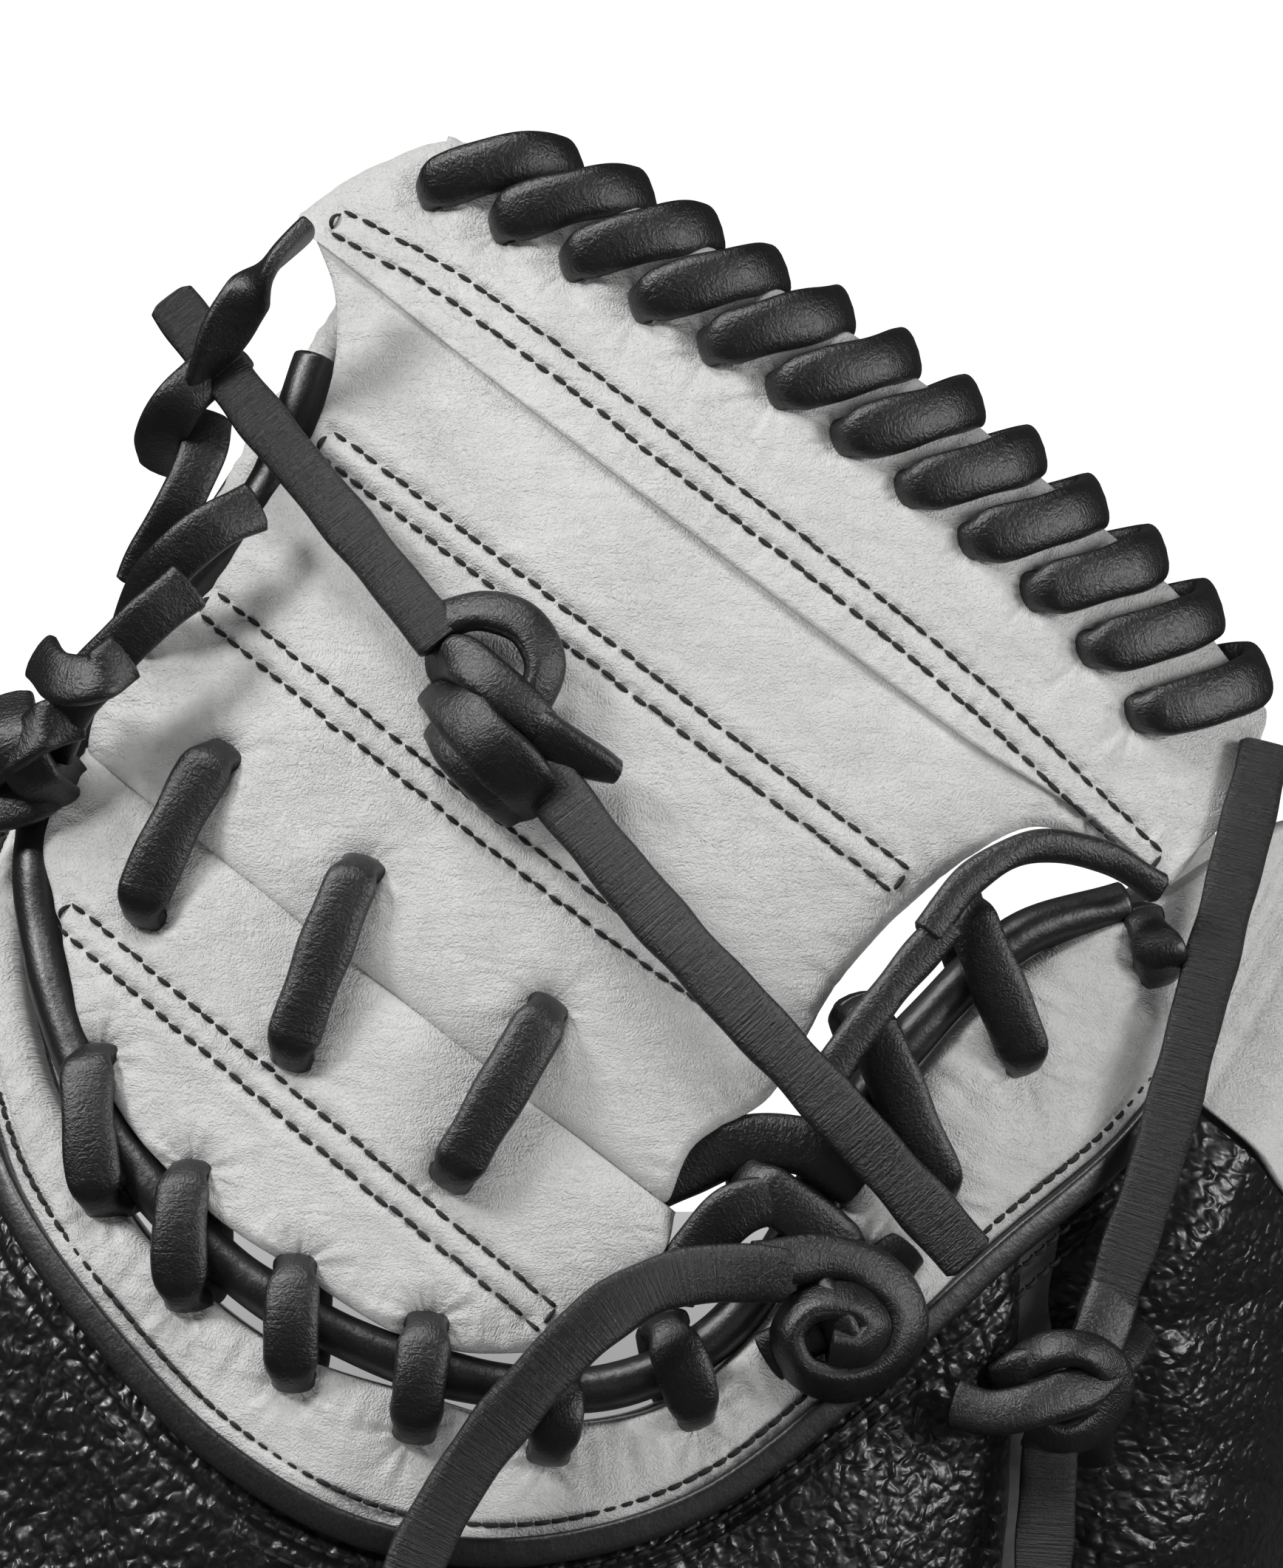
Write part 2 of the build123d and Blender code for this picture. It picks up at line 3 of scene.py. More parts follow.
import bpy
import numpy as np
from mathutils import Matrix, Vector


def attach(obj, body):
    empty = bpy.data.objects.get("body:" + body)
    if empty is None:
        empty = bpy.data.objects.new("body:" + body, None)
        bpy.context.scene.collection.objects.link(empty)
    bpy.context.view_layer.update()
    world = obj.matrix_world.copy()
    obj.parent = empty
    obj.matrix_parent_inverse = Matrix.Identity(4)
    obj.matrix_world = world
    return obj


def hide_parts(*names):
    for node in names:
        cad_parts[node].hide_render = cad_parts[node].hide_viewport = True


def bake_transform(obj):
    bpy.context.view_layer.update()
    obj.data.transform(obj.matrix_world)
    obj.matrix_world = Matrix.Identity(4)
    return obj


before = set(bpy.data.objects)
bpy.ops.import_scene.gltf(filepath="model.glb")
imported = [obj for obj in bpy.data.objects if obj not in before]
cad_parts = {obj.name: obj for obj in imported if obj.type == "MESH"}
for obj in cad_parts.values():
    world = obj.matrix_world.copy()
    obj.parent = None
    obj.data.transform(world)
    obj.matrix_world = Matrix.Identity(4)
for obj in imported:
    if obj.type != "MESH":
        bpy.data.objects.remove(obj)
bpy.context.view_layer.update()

TO_THE_BACK = [0.0, -1.0, 0.0]
MM = 0.001                 # the mitt is worked out in millimetres, Blender works in metres

# ---- the mitt's own geometry, in millimetres, as in the CAD model ----
FOLD_RADIUS = 488.0
LEATHER = 2.4
LACE_WIDTH, LACE_THICKNESS = 8.0, 2.3
ROLL_RADIUS = 3.25
WEB_THICKNESS = 7.0
RIM_HOLE_INSET = 13.2      # from the rim to the rim laces' holes
RIM_LACE_COUNT = 12
BACK_Y = [(0, -31), (4, -41), (10, -53), (16, -51), (22, -46), (28, -38), (34, -22), (37, -10)]
FINGER_HALF_WIDTH = [(0, 84), (6, 83), (12, 82), (18, 84), (22, 80), (26, 71), (34, 68)]
THUMB_HALF_WIDTH = [(0, 98), (6, 104), (12, 118), (18, 126), (23, 120), (29, 108), (36, 100)]
FINGER_SIDE = (125.0, 50.0, math.radians(96), FINGER_HALF_WIDTH)
THUMB_SIDE = (230.0, 60.0, math.radians(93), THUMB_HALF_WIDTH)
INNER_EDGE = [(0.00, -80, 34.0), (0.08, -84, 30.0), (0.16, -86, 25.5), (0.24, -80, 21.0),
              (0.30, -67, 19.3), (0.35, -55, 18.3), (0.40, -38, 17.1), (0.47, -15.5, 16.2),
              (0.53, 5, 16.1), (0.59, 23, 16.2), (0.65, 40, 17.3), (0.72, 51, 20.0),
              (0.79, 54, 23.1), (0.86, 60, 26.0), (0.93, 67, 27.6), (1.00, 75, 28.9)]
GUSSET_EDGE = [(0.00, -104, 34.0), (0.08, -104, 30.0), (0.16, -100, 24.6), (0.24, -88, 20.4),
               (0.30, -71, 18.4), (0.35, -60, 17.2), (0.40, -43, 15.9), (0.47, -20, 14.45),
               (0.53, 3, 13.75), (0.59, 26, 14.15), (0.65, 47, 15.7), (0.72, 63, 18.5),
               (0.79, 77, 21.8), (0.86, 90, 25.0), (0.93, 96, 29.0), (1.00, 97, 32.2)]
OUTER_EDGE = [(0.00, -140, 32.0), (0.08, -160, 28.0), (0.16, -172, 23.0), (0.24, -174, 17.0),
              (0.30, -165, 12.0), (0.35, -148, 8.0), (0.40, -118, 4.2), (0.45, -76, 0.9),
              (0.50, -50, -0.5), (0.56, -12, -0.6), (0.617, 30, -0.6), (0.65, 56, -0.3),
              (0.68, 88, 1.6), (0.72, 126, 5.0), (0.79, 165, 12.0), (0.86, 180, 19.5),
              (0.93, 175, 25.5), (1.00, 152, 30.0)]
LOBE_THICKNESS = [(0.0, 26), (0.16, 32), (0.3, 35), (0.45, 38), (0.65, 36), (0.86, 35), (1.0, 28)]
HEEL_THICKNESS = 70.0
HAND_SPACE = 27.5
CREASE, CREASE_HALF_WIDTH = 0.617, 0.02
EDGE_THICKNESS = 9.0
THUMB_PANEL_END = 0.88     # the black thumb panel ends here and the pale tip begins

RIM = [(6, 300), (15, 306), (27.5, 310), (50, 302), (74, 288), (93, 275.6), (112, 260.5),
       (129.5, 246), (137.6, 236), (143, 229)]
UPPER_LEFT = [(-24, 225), (-19.4, 234.7), (-7.4, 244.5), (2.3, 260), (7.6, 267.5), (10.5, 276),
              (10.5, 288), (6, 300)]
UPPER_RIGHT = [(59.8, 161), (62, 168), (72.6, 175), (81.7, 189.6), (92.7, 201.8), (108.6, 212),
               (120.7, 208.5), (129, 204), (136.6, 214), (143, 229)]
UPPER_FOLD = [(-24, 225), (59.8, 161)]
BAND_EDGE = [(7, 296.6), (38.7, 271), (98.5, 225.5), (116.5, 214), (127.5, 205)]
MOON_FOLD = [(-26.3, 222.6), (58.6, 157.4)]
MOON_LEFT = [(-23, 181), (-28, 201.5), (-30, 210), (-26.3, 222.6)]
MOON_BOTTOM = [(-23, 181), (-16.4, 170.4), (-4.7, 158.8), (6, 151.7), (20, 143), (30, 140), (41.6, 140)]
MOON_RIGHT = [(41.6, 140), (48, 147), (57.8, 153.5), (58.6, 157.4)]
JOINER_LOOPS = [((-4, 222.6), (-15, 200)), ((15.8, 207), (6, 180.4)), ((41.8, 187.4), (28.2, 164))]
PERIMETER_LOOPS = [((-21.6, 181), (-20, 160)), ((-8, 165), (-8.6, 147)), ((7, 152), (6.6, 136)),
                   ((25, 144), (23.3, 129)), ((43.4, 137), (41.8, 126)), ((58, 143.6), (62.3, 130.6)),
                   ((69.4, 164), (84, 153)), ((85, 187), (96, 161)), ((99, 202), (108, 179)),
                   ((125, 199), (127, 191))]
ROLL_PATH = [(7, 279), (-1, 258), (-17, 240), (-30, 222), (-32, 204), (-27, 184), (-17, 166),
             (-2, 151), (16, 141), (34, 135.5), (51, 135), (66, 142), (77, 157), (84, 171),
             (94, 184), (108, 196.5), (123, 201)]
# Double stitch rows on the web, each by the two ends of its middle line.
STITCH_LINES = [[(12, 297.6), (30, 287), (66, 259), (98, 233.5), (126, 207.5)],
                [(10, 266.4), (30, 251), (60, 228), (90.5, 205)],
                [(-6.4, 243.8), (20, 222.5), (45, 203), (66, 188)],
                [(-26.4, 200.4), (-5, 183), (15, 166.5), (41.7, 144.7)]]
STITCH_ROW_GAP = 3.9
STITCH_PITCH = 2.6
SEAM_STITCH_PITCH = 2.4
THREAD_RADIUS = 0.36
THREAD_GRAIN = 0.4         # the thread's radius in its texture
EDGE_LACE_PITCH = 16
WEB_HEADING = (0.795, 0.607)   # the web's length falls this way, as cosine and sine
BINDING_RISE = 0.9         # the seam binding's middle line, off the back
UV_UNIT = 10               # one unit of every texture is ten millimetres
HAND_HOLE = ((8, 76), (34, 17))   # the oval hole in the back: its middle and its half axes in X and Z
RIM_LACE_LEAN = math.radians(17)  # how the rim laces lie against the horizontal
RIM_LACE_CUT = math.radians(52)   # the angle between a rim lace and the rim
RIM_LACE_START, RIM_LACE_SPAN = 0.225, 0.745   # where the rim laces lie along the rim


# ---- curves and surfaces ----
def through(points, at, column=1):
    """A smooth curve through a list of points, read at many places at once."""
    table = np.array([[p[0], p[column]] for p in points], float)
    at = np.asarray(at, float)
    i = np.clip(np.searchsorted(table[:, 0], at, side="right") - 1, 0, len(table) - 2)
    slopes = np.diff(table[:, 1]) / np.diff(table[:, 0])
    inner = (table[2:, 1] - table[:-2, 1]) / (table[2:, 0] - table[:-2, 0])
    tangents = np.concatenate([slopes[:1], inner, slopes[-1:]])
    span = table[i + 1, 0] - table[i, 0]
    start = np.where(i == 0, slopes[i], tangents[i])
    end = np.where(i == len(table) - 2, slopes[i], tangents[i + 1])
    t = (at - table[i, 0]) / span
    rise = table[i, 1] * (2 * t**3 - 3 * t * t + 1) + table[i + 1, 1] * (3 * t * t - 2 * t**3)
    return rise + span * (start * (t**3 - 2 * t * t + t) + end * (t**3 - t * t))


def ease(value):
    """0 below 0, 1 above 1 and a smooth step between."""
    value = np.clip(value, 0, 1)
    return value * value * (3 - 2 * value)


def bell(value, width):
    """1 at 0 and falling smoothly to nothing about two widths away."""
    return np.exp(-(value / width) ** 2)


def rounded(gap, reach, drop):
    """How far an edge that curves over within `reach` has dropped, `gap` in from the edge."""
    return drop * (1 - np.sqrt(np.clip(1 - np.clip(1 - gap / reach, 0, 1) ** 2, 0, 1)))


def unit(vectors):
    """The same directions, each one long."""
    return vectors / np.linalg.norm(vectors, axis=-1, keepdims=True)


def lengths_along(points):
    """The length from a line's first point to each of its points."""
    return np.concatenate([[0], np.cumsum(np.linalg.norm(np.diff(points, axis=0), axis=1))])


def place(across, height_angle, depth):
    """The point at a distance across from the fold line, a height angle round it and a depth."""
    angle = np.radians(height_angle)
    reach = FOLD_RADIUS - across
    return np.stack([FOLD_RADIUS - reach * np.cos(angle), depth + 0 * reach, reach * np.sin(angle)], -1)


def one_side(length, height_angle, side):
    """Distance across, depth and slope at a length along one side's cross-section."""
    bow, flat, turn, half_width = side
    start = flat / bow
    slope = np.minimum(length, flat) / bow
    across = bow * np.sin(slope)
    depth = bow * (1 - np.cos(slope))
    flat_end = bow * math.sin(start)
    radius = (through(half_width, height_angle) - flat_end) / (1 - math.sin(start))
    past = length > flat
    turned = np.clip(start + (length - flat) / radius, start, turn)
    rest = np.maximum(0, length - flat - radius * (turn - start))
    further = radius * (np.sin(turned) - math.sin(start)) + rest * np.cos(turned)
    deeper = radius * (math.cos(start) - np.cos(turned)) + rest * np.sin(turned)
    return (np.where(past, across + further, across), np.where(past, depth + deeper, depth),
            np.where(past, turned, slope))


def body_point(along, height_angle, inward):
    """A point on the body: `along` the back from the fold line, `inward` of its outer surface."""
    along, height_angle = np.broadcast_arrays(np.asarray(along, float), np.asarray(height_angle, float))
    finger = one_side(np.abs(along), height_angle, FINGER_SIDE)
    thumb = one_side(np.abs(along), height_angle, THUMB_SIDE)
    across, depth, slope = [np.where(along < 0, f, t) for f, t in zip(finger, thumb)]
    across = across - inward * np.sin(slope)
    depth = depth + inward * np.cos(slope)
    return place(np.where(along < 0, -1, 1) * across, height_angle, through(BACK_Y, height_angle) + depth)


def web_point(x, z, inward):
    """The point of the web below (x, z), `inward` of its outer surface."""
    x, z = np.asarray(x, float), np.asarray(z, float)
    across = FOLD_RADIUS - np.hypot(FOLD_RADIUS - x, z)
    height_angle = np.degrees(np.arctan2(z, FOLD_RADIUS - x))
    bow = np.where(across < 0, FINGER_SIDE[0], THUMB_SIDE[0])
    slope = np.arcsin(across / bow)
    depth = through(BACK_Y, height_angle) + bow * (1 - np.cos(slope)) + inward * np.cos(slope)
    return place(across - inward * np.sin(slope), height_angle, depth)


def u_corners(round_u):
    """Where the U's three edges lie on the back, each as its length along and its height angle."""
    return [[through(edge, round_u, c) for c in (1, 2)] for edge in (INNER_EDGE, GUSSET_EDGE, OUTER_EDGE)]


def seam_fraction(round_u):
    """The share of the U's width that the gusset takes up."""
    corners = u_corners(round_u)
    degree = math.radians(FOLD_RADIUS)
    steps = [np.hypot(b[0] - a[0], degree * (b[1] - a[1])) for a, b in zip(corners, corners[1:])]
    return steps[0] / (steps[0] + steps[1])


def u_place(round_u, out):
    """Where a place of the U is on the back: `out` is 0 at the web and 1 at the outer edge."""
    corners = u_corners(round_u)
    seam = seam_fraction(round_u)
    result = []
    for c in (0, 1):
        a, b, e = corners[0][c], corners[1][c], corners[2][c]
        middle = e - a
        first = (b - a) / seam
        second = (e - b) / (1 - seam)
        t = out / seam
        low = (a * (2 * t**3 - 3 * t * t + 1) + b * (3 * t * t - 2 * t**3)
               + seam * (first * (t**3 - 2 * t * t + t) + middle * (t**3 - t * t)))
        t = (out - seam) / (1 - seam)
        high = (b * (2 * t**3 - 3 * t * t + 1) + e * (3 * t * t - 2 * t**3)
                + (1 - seam) * (middle * (t**3 - 2 * t * t + t) + second * (t**3 - t * t)))
        result.append(np.where(out < seam, low, high))
    return result


def thickness(round_u, out):
    """How thick the padded body is at a place of the U."""
    along = np.abs(u_place(round_u, out)[0])
    lobe = through(LOBE_THICKNESS, round_u)
    full = lobe + (HEEL_THICKNESS - lobe) * (1 - ease((along - 28) / 42))
    full = full * (1 - 0.33 * bell(round_u - CREASE, CREASE_HALF_WIDTH))
    heel = ease((round_u - 0.4) / 0.06) * ease((0.68 - round_u) / 0.04)
    full = full * (1 - (0.3 - 0.3 * heel) * ease((out - 0.75) / 0.25))
    return EDGE_THICKNESS + (full - EDGE_THICKNESS) * ease(out / 0.5)


def hand_space(round_u, out):
    """How far in from the back the hand's room reaches."""
    middle = ease((round_u - 0.35) / 0.07) * ease((0.71 - round_u) / 0.06)
    return LEATHER + 0.8 + (HAND_SPACE - LEATHER) * middle * ease((out - 0.22) / 0.22)


def on_body(x, z):
    """Length along the back and height angle below a place in the XZ plane."""
    x, z = np.asarray(x, float), np.asarray(z, float)
    across = FOLD_RADIUS - np.hypot(FOLD_RADIUS - x, z)
    height_angle = np.degrees(np.arctan2(z, FOLD_RADIUS - x))
    low, high = np.zeros_like(across), np.full_like(across, 140.0)
    for _ in range(40):
        middle = (low + high) / 2
        spot = body_point(np.copysign(middle, across), height_angle, 0)
        short = np.abs(FOLD_RADIUS - np.hypot(FOLD_RADIUS - spot[..., 0], spot[..., 2])) < np.abs(across)
        low, high = np.where(short, middle, low), np.where(short, high, middle)
    return np.copysign(low, across), height_angle


def off_body(x, z, rise):
    """The point that stands `rise` off the back of the body below (x, z)."""
    along, height_angle = on_body(x, z)
    return body_point(along, height_angle, -np.asarray(rise, float))


def resample(points, fractions):
    """Points at fractions of an outline's length, each coordinate in its own column."""
    points = np.asarray(points, float)
    lengths = lengths_along(points)
    at = np.asarray(fractions) * lengths[-1]
    return np.stack([np.interp(at, lengths, points[:, c]) for c in range(points.shape[1])], -1)


def smooth_line(points, count):
    """A smooth curve through a few points, sampled evenly along its length."""
    points = np.asarray(points, float)
    lengths = lengths_along(points)
    dense = np.linspace(0, lengths[-1], 12 * len(points) + 1)
    columns = [through(list(zip(lengths, points[:, c])), dense) for c in range(points.shape[1])]
    return resample(np.stack(columns, -1), np.linspace(0, 1, count))


def distance_to(line, x, z):
    """Distance from many places to a polyline, with its sign to the left and how far along it is."""
    best = np.full(np.shape(x), 1e9)
    side, at = np.zeros(np.shape(x)), np.zeros(np.shape(x))
    run = 0.0
    for (ax, az), (bx, bz) in zip(line, line[1:]):
        dx, dz = bx - ax, bz - az
        size = math.hypot(dx, dz)
        t = np.clip(((x - ax) * dx + (z - az) * dz) / size**2, 0, 1)
        gap = np.hypot(x - ax - t * dx, z - az - t * dz)
        turn = np.sign(dx * (z - az) - dz * (x - ax))
        nearer = gap < best
        best, side = np.where(nearer, gap, best), np.where(nearer, turn, side)
        at = np.where(nearer, run + t * size, at)
        run += size
    return best, side, at


def ripples(x, z, size, seed, waves=9):
    """A smooth random surface of about one unit, made of sines in random directions."""
    draw = np.random.default_rng(seed)
    total = np.zeros(np.shape(x))
    for _ in range(waves):
        heading, phase = draw.uniform(0, 2 * math.pi, 2)
        length = size * draw.uniform(0.6, 1.6)
        total = total + np.sin((x * math.cos(heading) + z * math.sin(heading)) * 2 * math.pi / length + phase)
    return total / math.sqrt(waves)


# ---- meshes ----
def make_object(name, vertices, faces, uv=None, material=None):
    """A smooth-shaded object from vertices in millimetres."""
    mesh = bpy.data.meshes.new(name)
    mesh.from_pydata((np.asarray(vertices) * MM).tolist(), [], faces)
    mesh.update()
    if uv is not None:
        layer = mesh.uv_layers.new(name="UVMap")
        corner = np.zeros(len(mesh.loops), int)
        mesh.loops.foreach_get("vertex_index", corner)
        layer.data.foreach_set("uv", np.asarray(uv, float)[corner].ravel())
    mesh.polygons.foreach_set("use_smooth", [True] * len(mesh.polygons))
    obj = bpy.data.objects.new(name, mesh)
    bpy.context.scene.collection.objects.link(obj)
    if material is not None:
        mesh.materials.append(material)
    return obj


def quads(rows, columns, offset=0, flip=False, close_columns=False):
    """The faces of a grid of vertices, whose last column may join its first."""
    row = np.arange(rows - 1)
    column = np.arange(columns if close_columns else columns - 1)
    a, b = np.meshgrid(row, column, indexing="ij")
    a2, b2 = a + 1, (b + 1) % columns
    square = np.stack([a * columns + b, a * columns + b2, a2 * columns + b2, a2 * columns + b], -1)
    square = square.reshape(-1, 4) + offset
    return (square[:, ::-1] if flip else square).tolist()


def slab(name, outer, inner, uv, material, hole=None):
    """A leather layer with thickness: two matching grids joined round their edges."""
    rows, columns = outer.shape[:2]
    count = rows * columns
    faces = quads(rows, columns) + quads(rows, columns, count, flip=True)
    edge = ([(0, c) for c in range(columns)] + [(r, columns - 1) for r in range(1, rows)]
            + [(rows - 1, c) for c in range(columns - 2, -1, -1)] + [(r, 0) for r in range(rows - 2, 0, -1)])
    loop = [r * columns + c for r, c in edge]
    for a, b in zip(loop, loop[1:] + loop[:1]):
        faces.append([b, a, a + count, b + count])
    vertices = np.concatenate([outer.reshape(-1, 3), inner.reshape(-1, 3)])
    vertices[:, 2] = np.maximum(vertices[:, 2], 0.0)
    flat_uv = np.concatenate([uv.reshape(-1, 2), uv.reshape(-1, 2)])
    if hole is not None:
        faces = cut_hole(faces, hole.reshape(-1), count)
    return make_object(name, vertices, faces, flat_uv / UV_UNIT, material)


def cut_hole(faces, inside, count):
    """Drops the faces of a two-sided grid where `inside` is true and walls the opening's edge."""
    both = np.concatenate([inside, inside])
    kept = [f for f in faces if not all(both[v] for v in f)]
    edges = {}
    for f in kept:
        if all(v < count for v in f):
            for a, b in zip(f, f[1:] + f[:1]):
                edges[(a, b)] = True
    dropped = [f for f in faces if all(both[v] for v in f) and all(v < count for v in f)]
    for f in dropped:
        for a, b in zip(f, f[1:] + f[:1]):
            if (b, a) in edges:
                kept.append([a, b, b + count, a + count])
    return kept


def frames_along(points, width_hint):
    """Unit tangents, width directions and normals along a sampled path."""
    tangent = unit(np.gradient(points, axis=0))
    width = unit(width_hint - tangent * np.sum(width_hint * tangent, axis=1, keepdims=True))
    return tangent, width, np.cross(tangent, width)


def closed_skin(name, grid, run, girth, material):
    """A closed surface from rings of points: `run` and `girth` are its texture lengths."""
    grid[..., 2] = np.maximum(grid[..., 2], 0.2)
    rows, columns = grid.shape[:2]
    faces = quads(rows, columns, close_columns=True)
    faces += [list(range(columns))[::-1], [(rows - 1) * columns + c for c in range(columns)]]
    uv = np.stack(np.broadcast_arrays(run[:, None], girth[None]), -1)
    return make_object(name, grid.reshape(-1, 3), faces, uv.reshape(-1, 2) / UV_UNIT, material)


SHIFT_PER_LACE = 37.0      # each lace reads another stretch of its grain


def ribbon(name, points, width_hint, material, width=LACE_WIDTH, thick=LACE_THICKNESS, taper=0.0,
           ruffle=0.12, seed=1, dome=0.25, pinch=None, keep=0.6):
    """A flat leather lace along a path, domed on top and drawn narrow where it goes into a hole."""
    points = np.asarray(points, float)
    width_hint = np.broadcast_to(np.asarray(width_hint, float), points.shape)
    tangent, across, normal = frames_along(points, width_hint)
    around = np.linspace(0, 2 * math.pi, 24, endpoint=False)
    flat = np.sign(np.cos(around)) * np.abs(np.cos(around)) ** 0.5
    high = np.sign(np.sin(around)) * np.abs(np.sin(around)) ** 0.6
    run = lengths_along(points)
    draw = np.random.default_rng(seed)
    phase = draw.uniform(0, 6, 6)
    size = 1 + ruffle * (0.10 * np.sin(run / 3.1 + phase[0]) + 0.07 * np.sin(run / 1.7 + phase[1]))
    from_end = np.minimum(run, run[-1] - run)
    size = size * np.minimum(1, from_end / 0.5 + 0.8) * (1 - taper * (run / run[-1]) ** 2)
    deep = np.ones_like(run)
    if pinch is not None:
        gap = np.min(np.linalg.norm(points[:, None] - np.asarray(pinch)[None], axis=-1), axis=1)
        size = size * (keep + (1 - keep) * ease(gap / 3.4))
        deep = 1.15 - 0.15 * ease(gap / 4.6)
    x = (width / 2) * size[:, None] * flat[None]
    y = (thick / 2) * deep[:, None] * high[None] + dome * (1 - flat[None] ** 2) * np.sign(high[None] + 1e-9)
    y = y + ruffle * 0.35 * np.sin(run / 2.6 + phase[2])[:, None] * flat[None]
    y = y + ruffle * 0.25 * np.sin(run / 4.1 + phase[3])[:, None]
    grid = points[:, None] + across[:, None] * x[..., None] + normal[:, None] * y[..., None]
    girth = lengths_along(np.stack([x[0], y[0]], -1))
    return closed_skin(name, grid, run + SHIFT_PER_LACE * seed, girth, material)


def round_tube(name, points, radius, material, seed=1, wobble=0.03):
    """A round leather roll along a path, a little uneven."""
    points = np.asarray(points, float)
    hint = np.broadcast_to([0.0, 0.3, 1.0], points.shape)
    tangent, across, normal = frames_along(points, hint + 0.001)
    around = np.linspace(0, 2 * math.pi, 18, endpoint=False)
    run = lengths_along(points)
    size = radius * (1 + wobble * ripples(run, run * 0, 14, seed))
    ring = across[:, None] * np.cos(around)[None, :, None] + normal[:, None] * np.sin(around)[None, :, None]
    grid = points[:, None] + ring * size[:, None, None]
    return closed_skin(name, grid, run, around * radius, material)


def join(name, objects):
    """Joins meshes that share a material into one piece."""
    with bpy.context.temp_override(active_object=objects[0], selected_editable_objects=objects):
        bpy.ops.object.join()
    objects[0].name = name
    return objects[0]


# ---- materials ----
class Nodes:
    """A small helper that adds shader nodes and links them."""

    def __init__(self, name):
        self.material = bpy.data.materials.new(name)
        self.material.use_nodes = True
        self.tree = self.material.node_tree
        self.shader = self.tree.nodes["Principled BSDF"]
        self.uv = self.add("ShaderNodeTexCoord").outputs["UV"]

    def add(self, kind, inputs=(), **settings):
        node = self.tree.nodes.new(kind)
        for key, value in settings.items():
            setattr(node, key, value)
        for key, value in dict(inputs).items():
            if isinstance(value, bpy.types.NodeSocket):
                self.tree.links.new(value, node.inputs[key])
            else:
                node.inputs[key].default_value = value
        return node

    def stretched(self, x, y, turn=0.0):
        inputs = {"Vector": self.uv, "Scale": (x, y, 1), "Rotation": (0, 0, turn)}
        return self.add("ShaderNodeMapping", inputs).outputs["Vector"]

    def noise(self, scale, detail=3.0, rough=0.55, vector=None, distortion=0.0):
        node = self.add("ShaderNodeTexNoise", {"Vector": vector or self.uv, "Scale": scale, "Detail": detail,
                                               "Roughness": rough, "Distortion": distortion})
        return node.outputs["Fac"]

    def cells(self, scale, vector=None, feature="F1"):
        inputs = {"Vector": vector or self.uv, "Scale": scale}
        return self.add("ShaderNodeTexVoronoi", inputs, feature=feature).outputs["Distance"]

    def ramp(self, value, stops):
        node = self.add("ShaderNodeValToRGB", {"Fac": value})
        ramp = node.color_ramp
        while len(ramp.elements) < len(stops):
            ramp.elements.new(0.5)
        for element, (position, shade) in zip(ramp.elements, stops):
            element.position = position
            element.color = (*([shade] * 3 if isinstance(shade, float) else shade), 1)
        return node.outputs["Color"]

    def combine(self, operation, a, b):
        return self.add("ShaderNodeMath", {0: a, 1: b}, operation=operation).outputs["Value"]

    def bump(self, height, strength, distance, normal=None):
        inputs = {"Height": height, "Strength": strength, "Distance": distance}
        if normal is not None:
            inputs["Normal"] = normal
        return self.add("ShaderNodeBump", inputs).outputs["Normal"]

    def finish(self, **sockets):
        for key, value in sockets.items():
            socket = self.shader.inputs[key.replace("_", " ")]
            if isinstance(value, bpy.types.NodeSocket):
                self.tree.links.new(value, socket)
            else:
                socket.default_value = value
        return self.material


def warped(nodes, amount, scale):
    """The UV coordinates pushed about by noise, so that repeated marks aren't regular."""
    def vector_maths(operation, inputs):
        return nodes.add("ShaderNodeVectorMath", inputs, operation=operation).outputs[0]

    wave = nodes.add("ShaderNodeTexNoise", {"Vector": nodes.uv, "Scale": scale, "Detail": 2.0})
    centred = vector_maths("SUBTRACT", {0: wave.outputs["Color"], 1: (0.5, 0.5, 0.5)})
    scaled = vector_maths("SCALE", {0: centred, "Scale": amount})
    return vector_maths("ADD", {0: nodes.uv, 1: scaled})


def grey_leather():
    """Smooth pale leather with fine pores, a net of small skin creases with painted shade along them, and
    faint cloudiness.
    """
    n = Nodes("grey_leather")
    bent = warped(n, 0.5, 1.3)
    pores = n.cells(30.0, bent)
    net = n.ramp(n.cells(4.6, warped(n, 0.45, 3.5), "DISTANCE_TO_EDGE"), [(0.0, 0.0), (0.07, 1.0)])
    fine_net = n.ramp(n.cells(10.5, warped(n, 0.3, 7.0), "DISTANCE_TO_EDGE"), [(0.0, 0.0), (0.08, 1.0)])
    patches = n.ramp(n.noise(0.55, 2.0), [(0.38, 0.0), (0.54, 1.0)])
    net_mix = n.combine("MAXIMUM", net, patches)
    streaks = n.noise(1.5, 5.0, 0.62, n.stretched(0.7, 2.4, 0.65), 0.6)
    fine = n.noise(30.0, 6.0, 0.65)
    normal = n.bump(streaks, 0.50, 0.0014)
    normal = n.bump(net_mix, 0.26, 0.00030, normal)
    normal = n.bump(fine_net, 0.32, 0.00018, normal)
    normal = n.bump(pores, 0.8, 0.00020, normal)
    normal = n.bump(fine, 0.35, 0.00014, normal)
    cloud = n.ramp(n.noise(0.6, 6.0, 0.62), [(0.3, (0.52, 0.522, 0.515)), (0.7, (0.60, 0.602, 0.594))])
    # The colour is mixed darker along the crease net, except in the plain patches: painted shade in the
    # creases.
    lines = n.combine("MULTIPLY", n.combine("SUBTRACT", 1.0, net_mix), 0.14)
    shade = n.add("ShaderNodeMix", {0: lines, 6: cloud, 7: (0.26, 0.26, 0.255, 1)}, data_type="RGBA")
    rough = n.ramp(fine, [(0.3, 0.48), (0.7, 0.64)])
    return n.finish(Base_Color=shade.outputs[2], Roughness=rough, Normal=normal, Specular_IOR_Level=0.42)


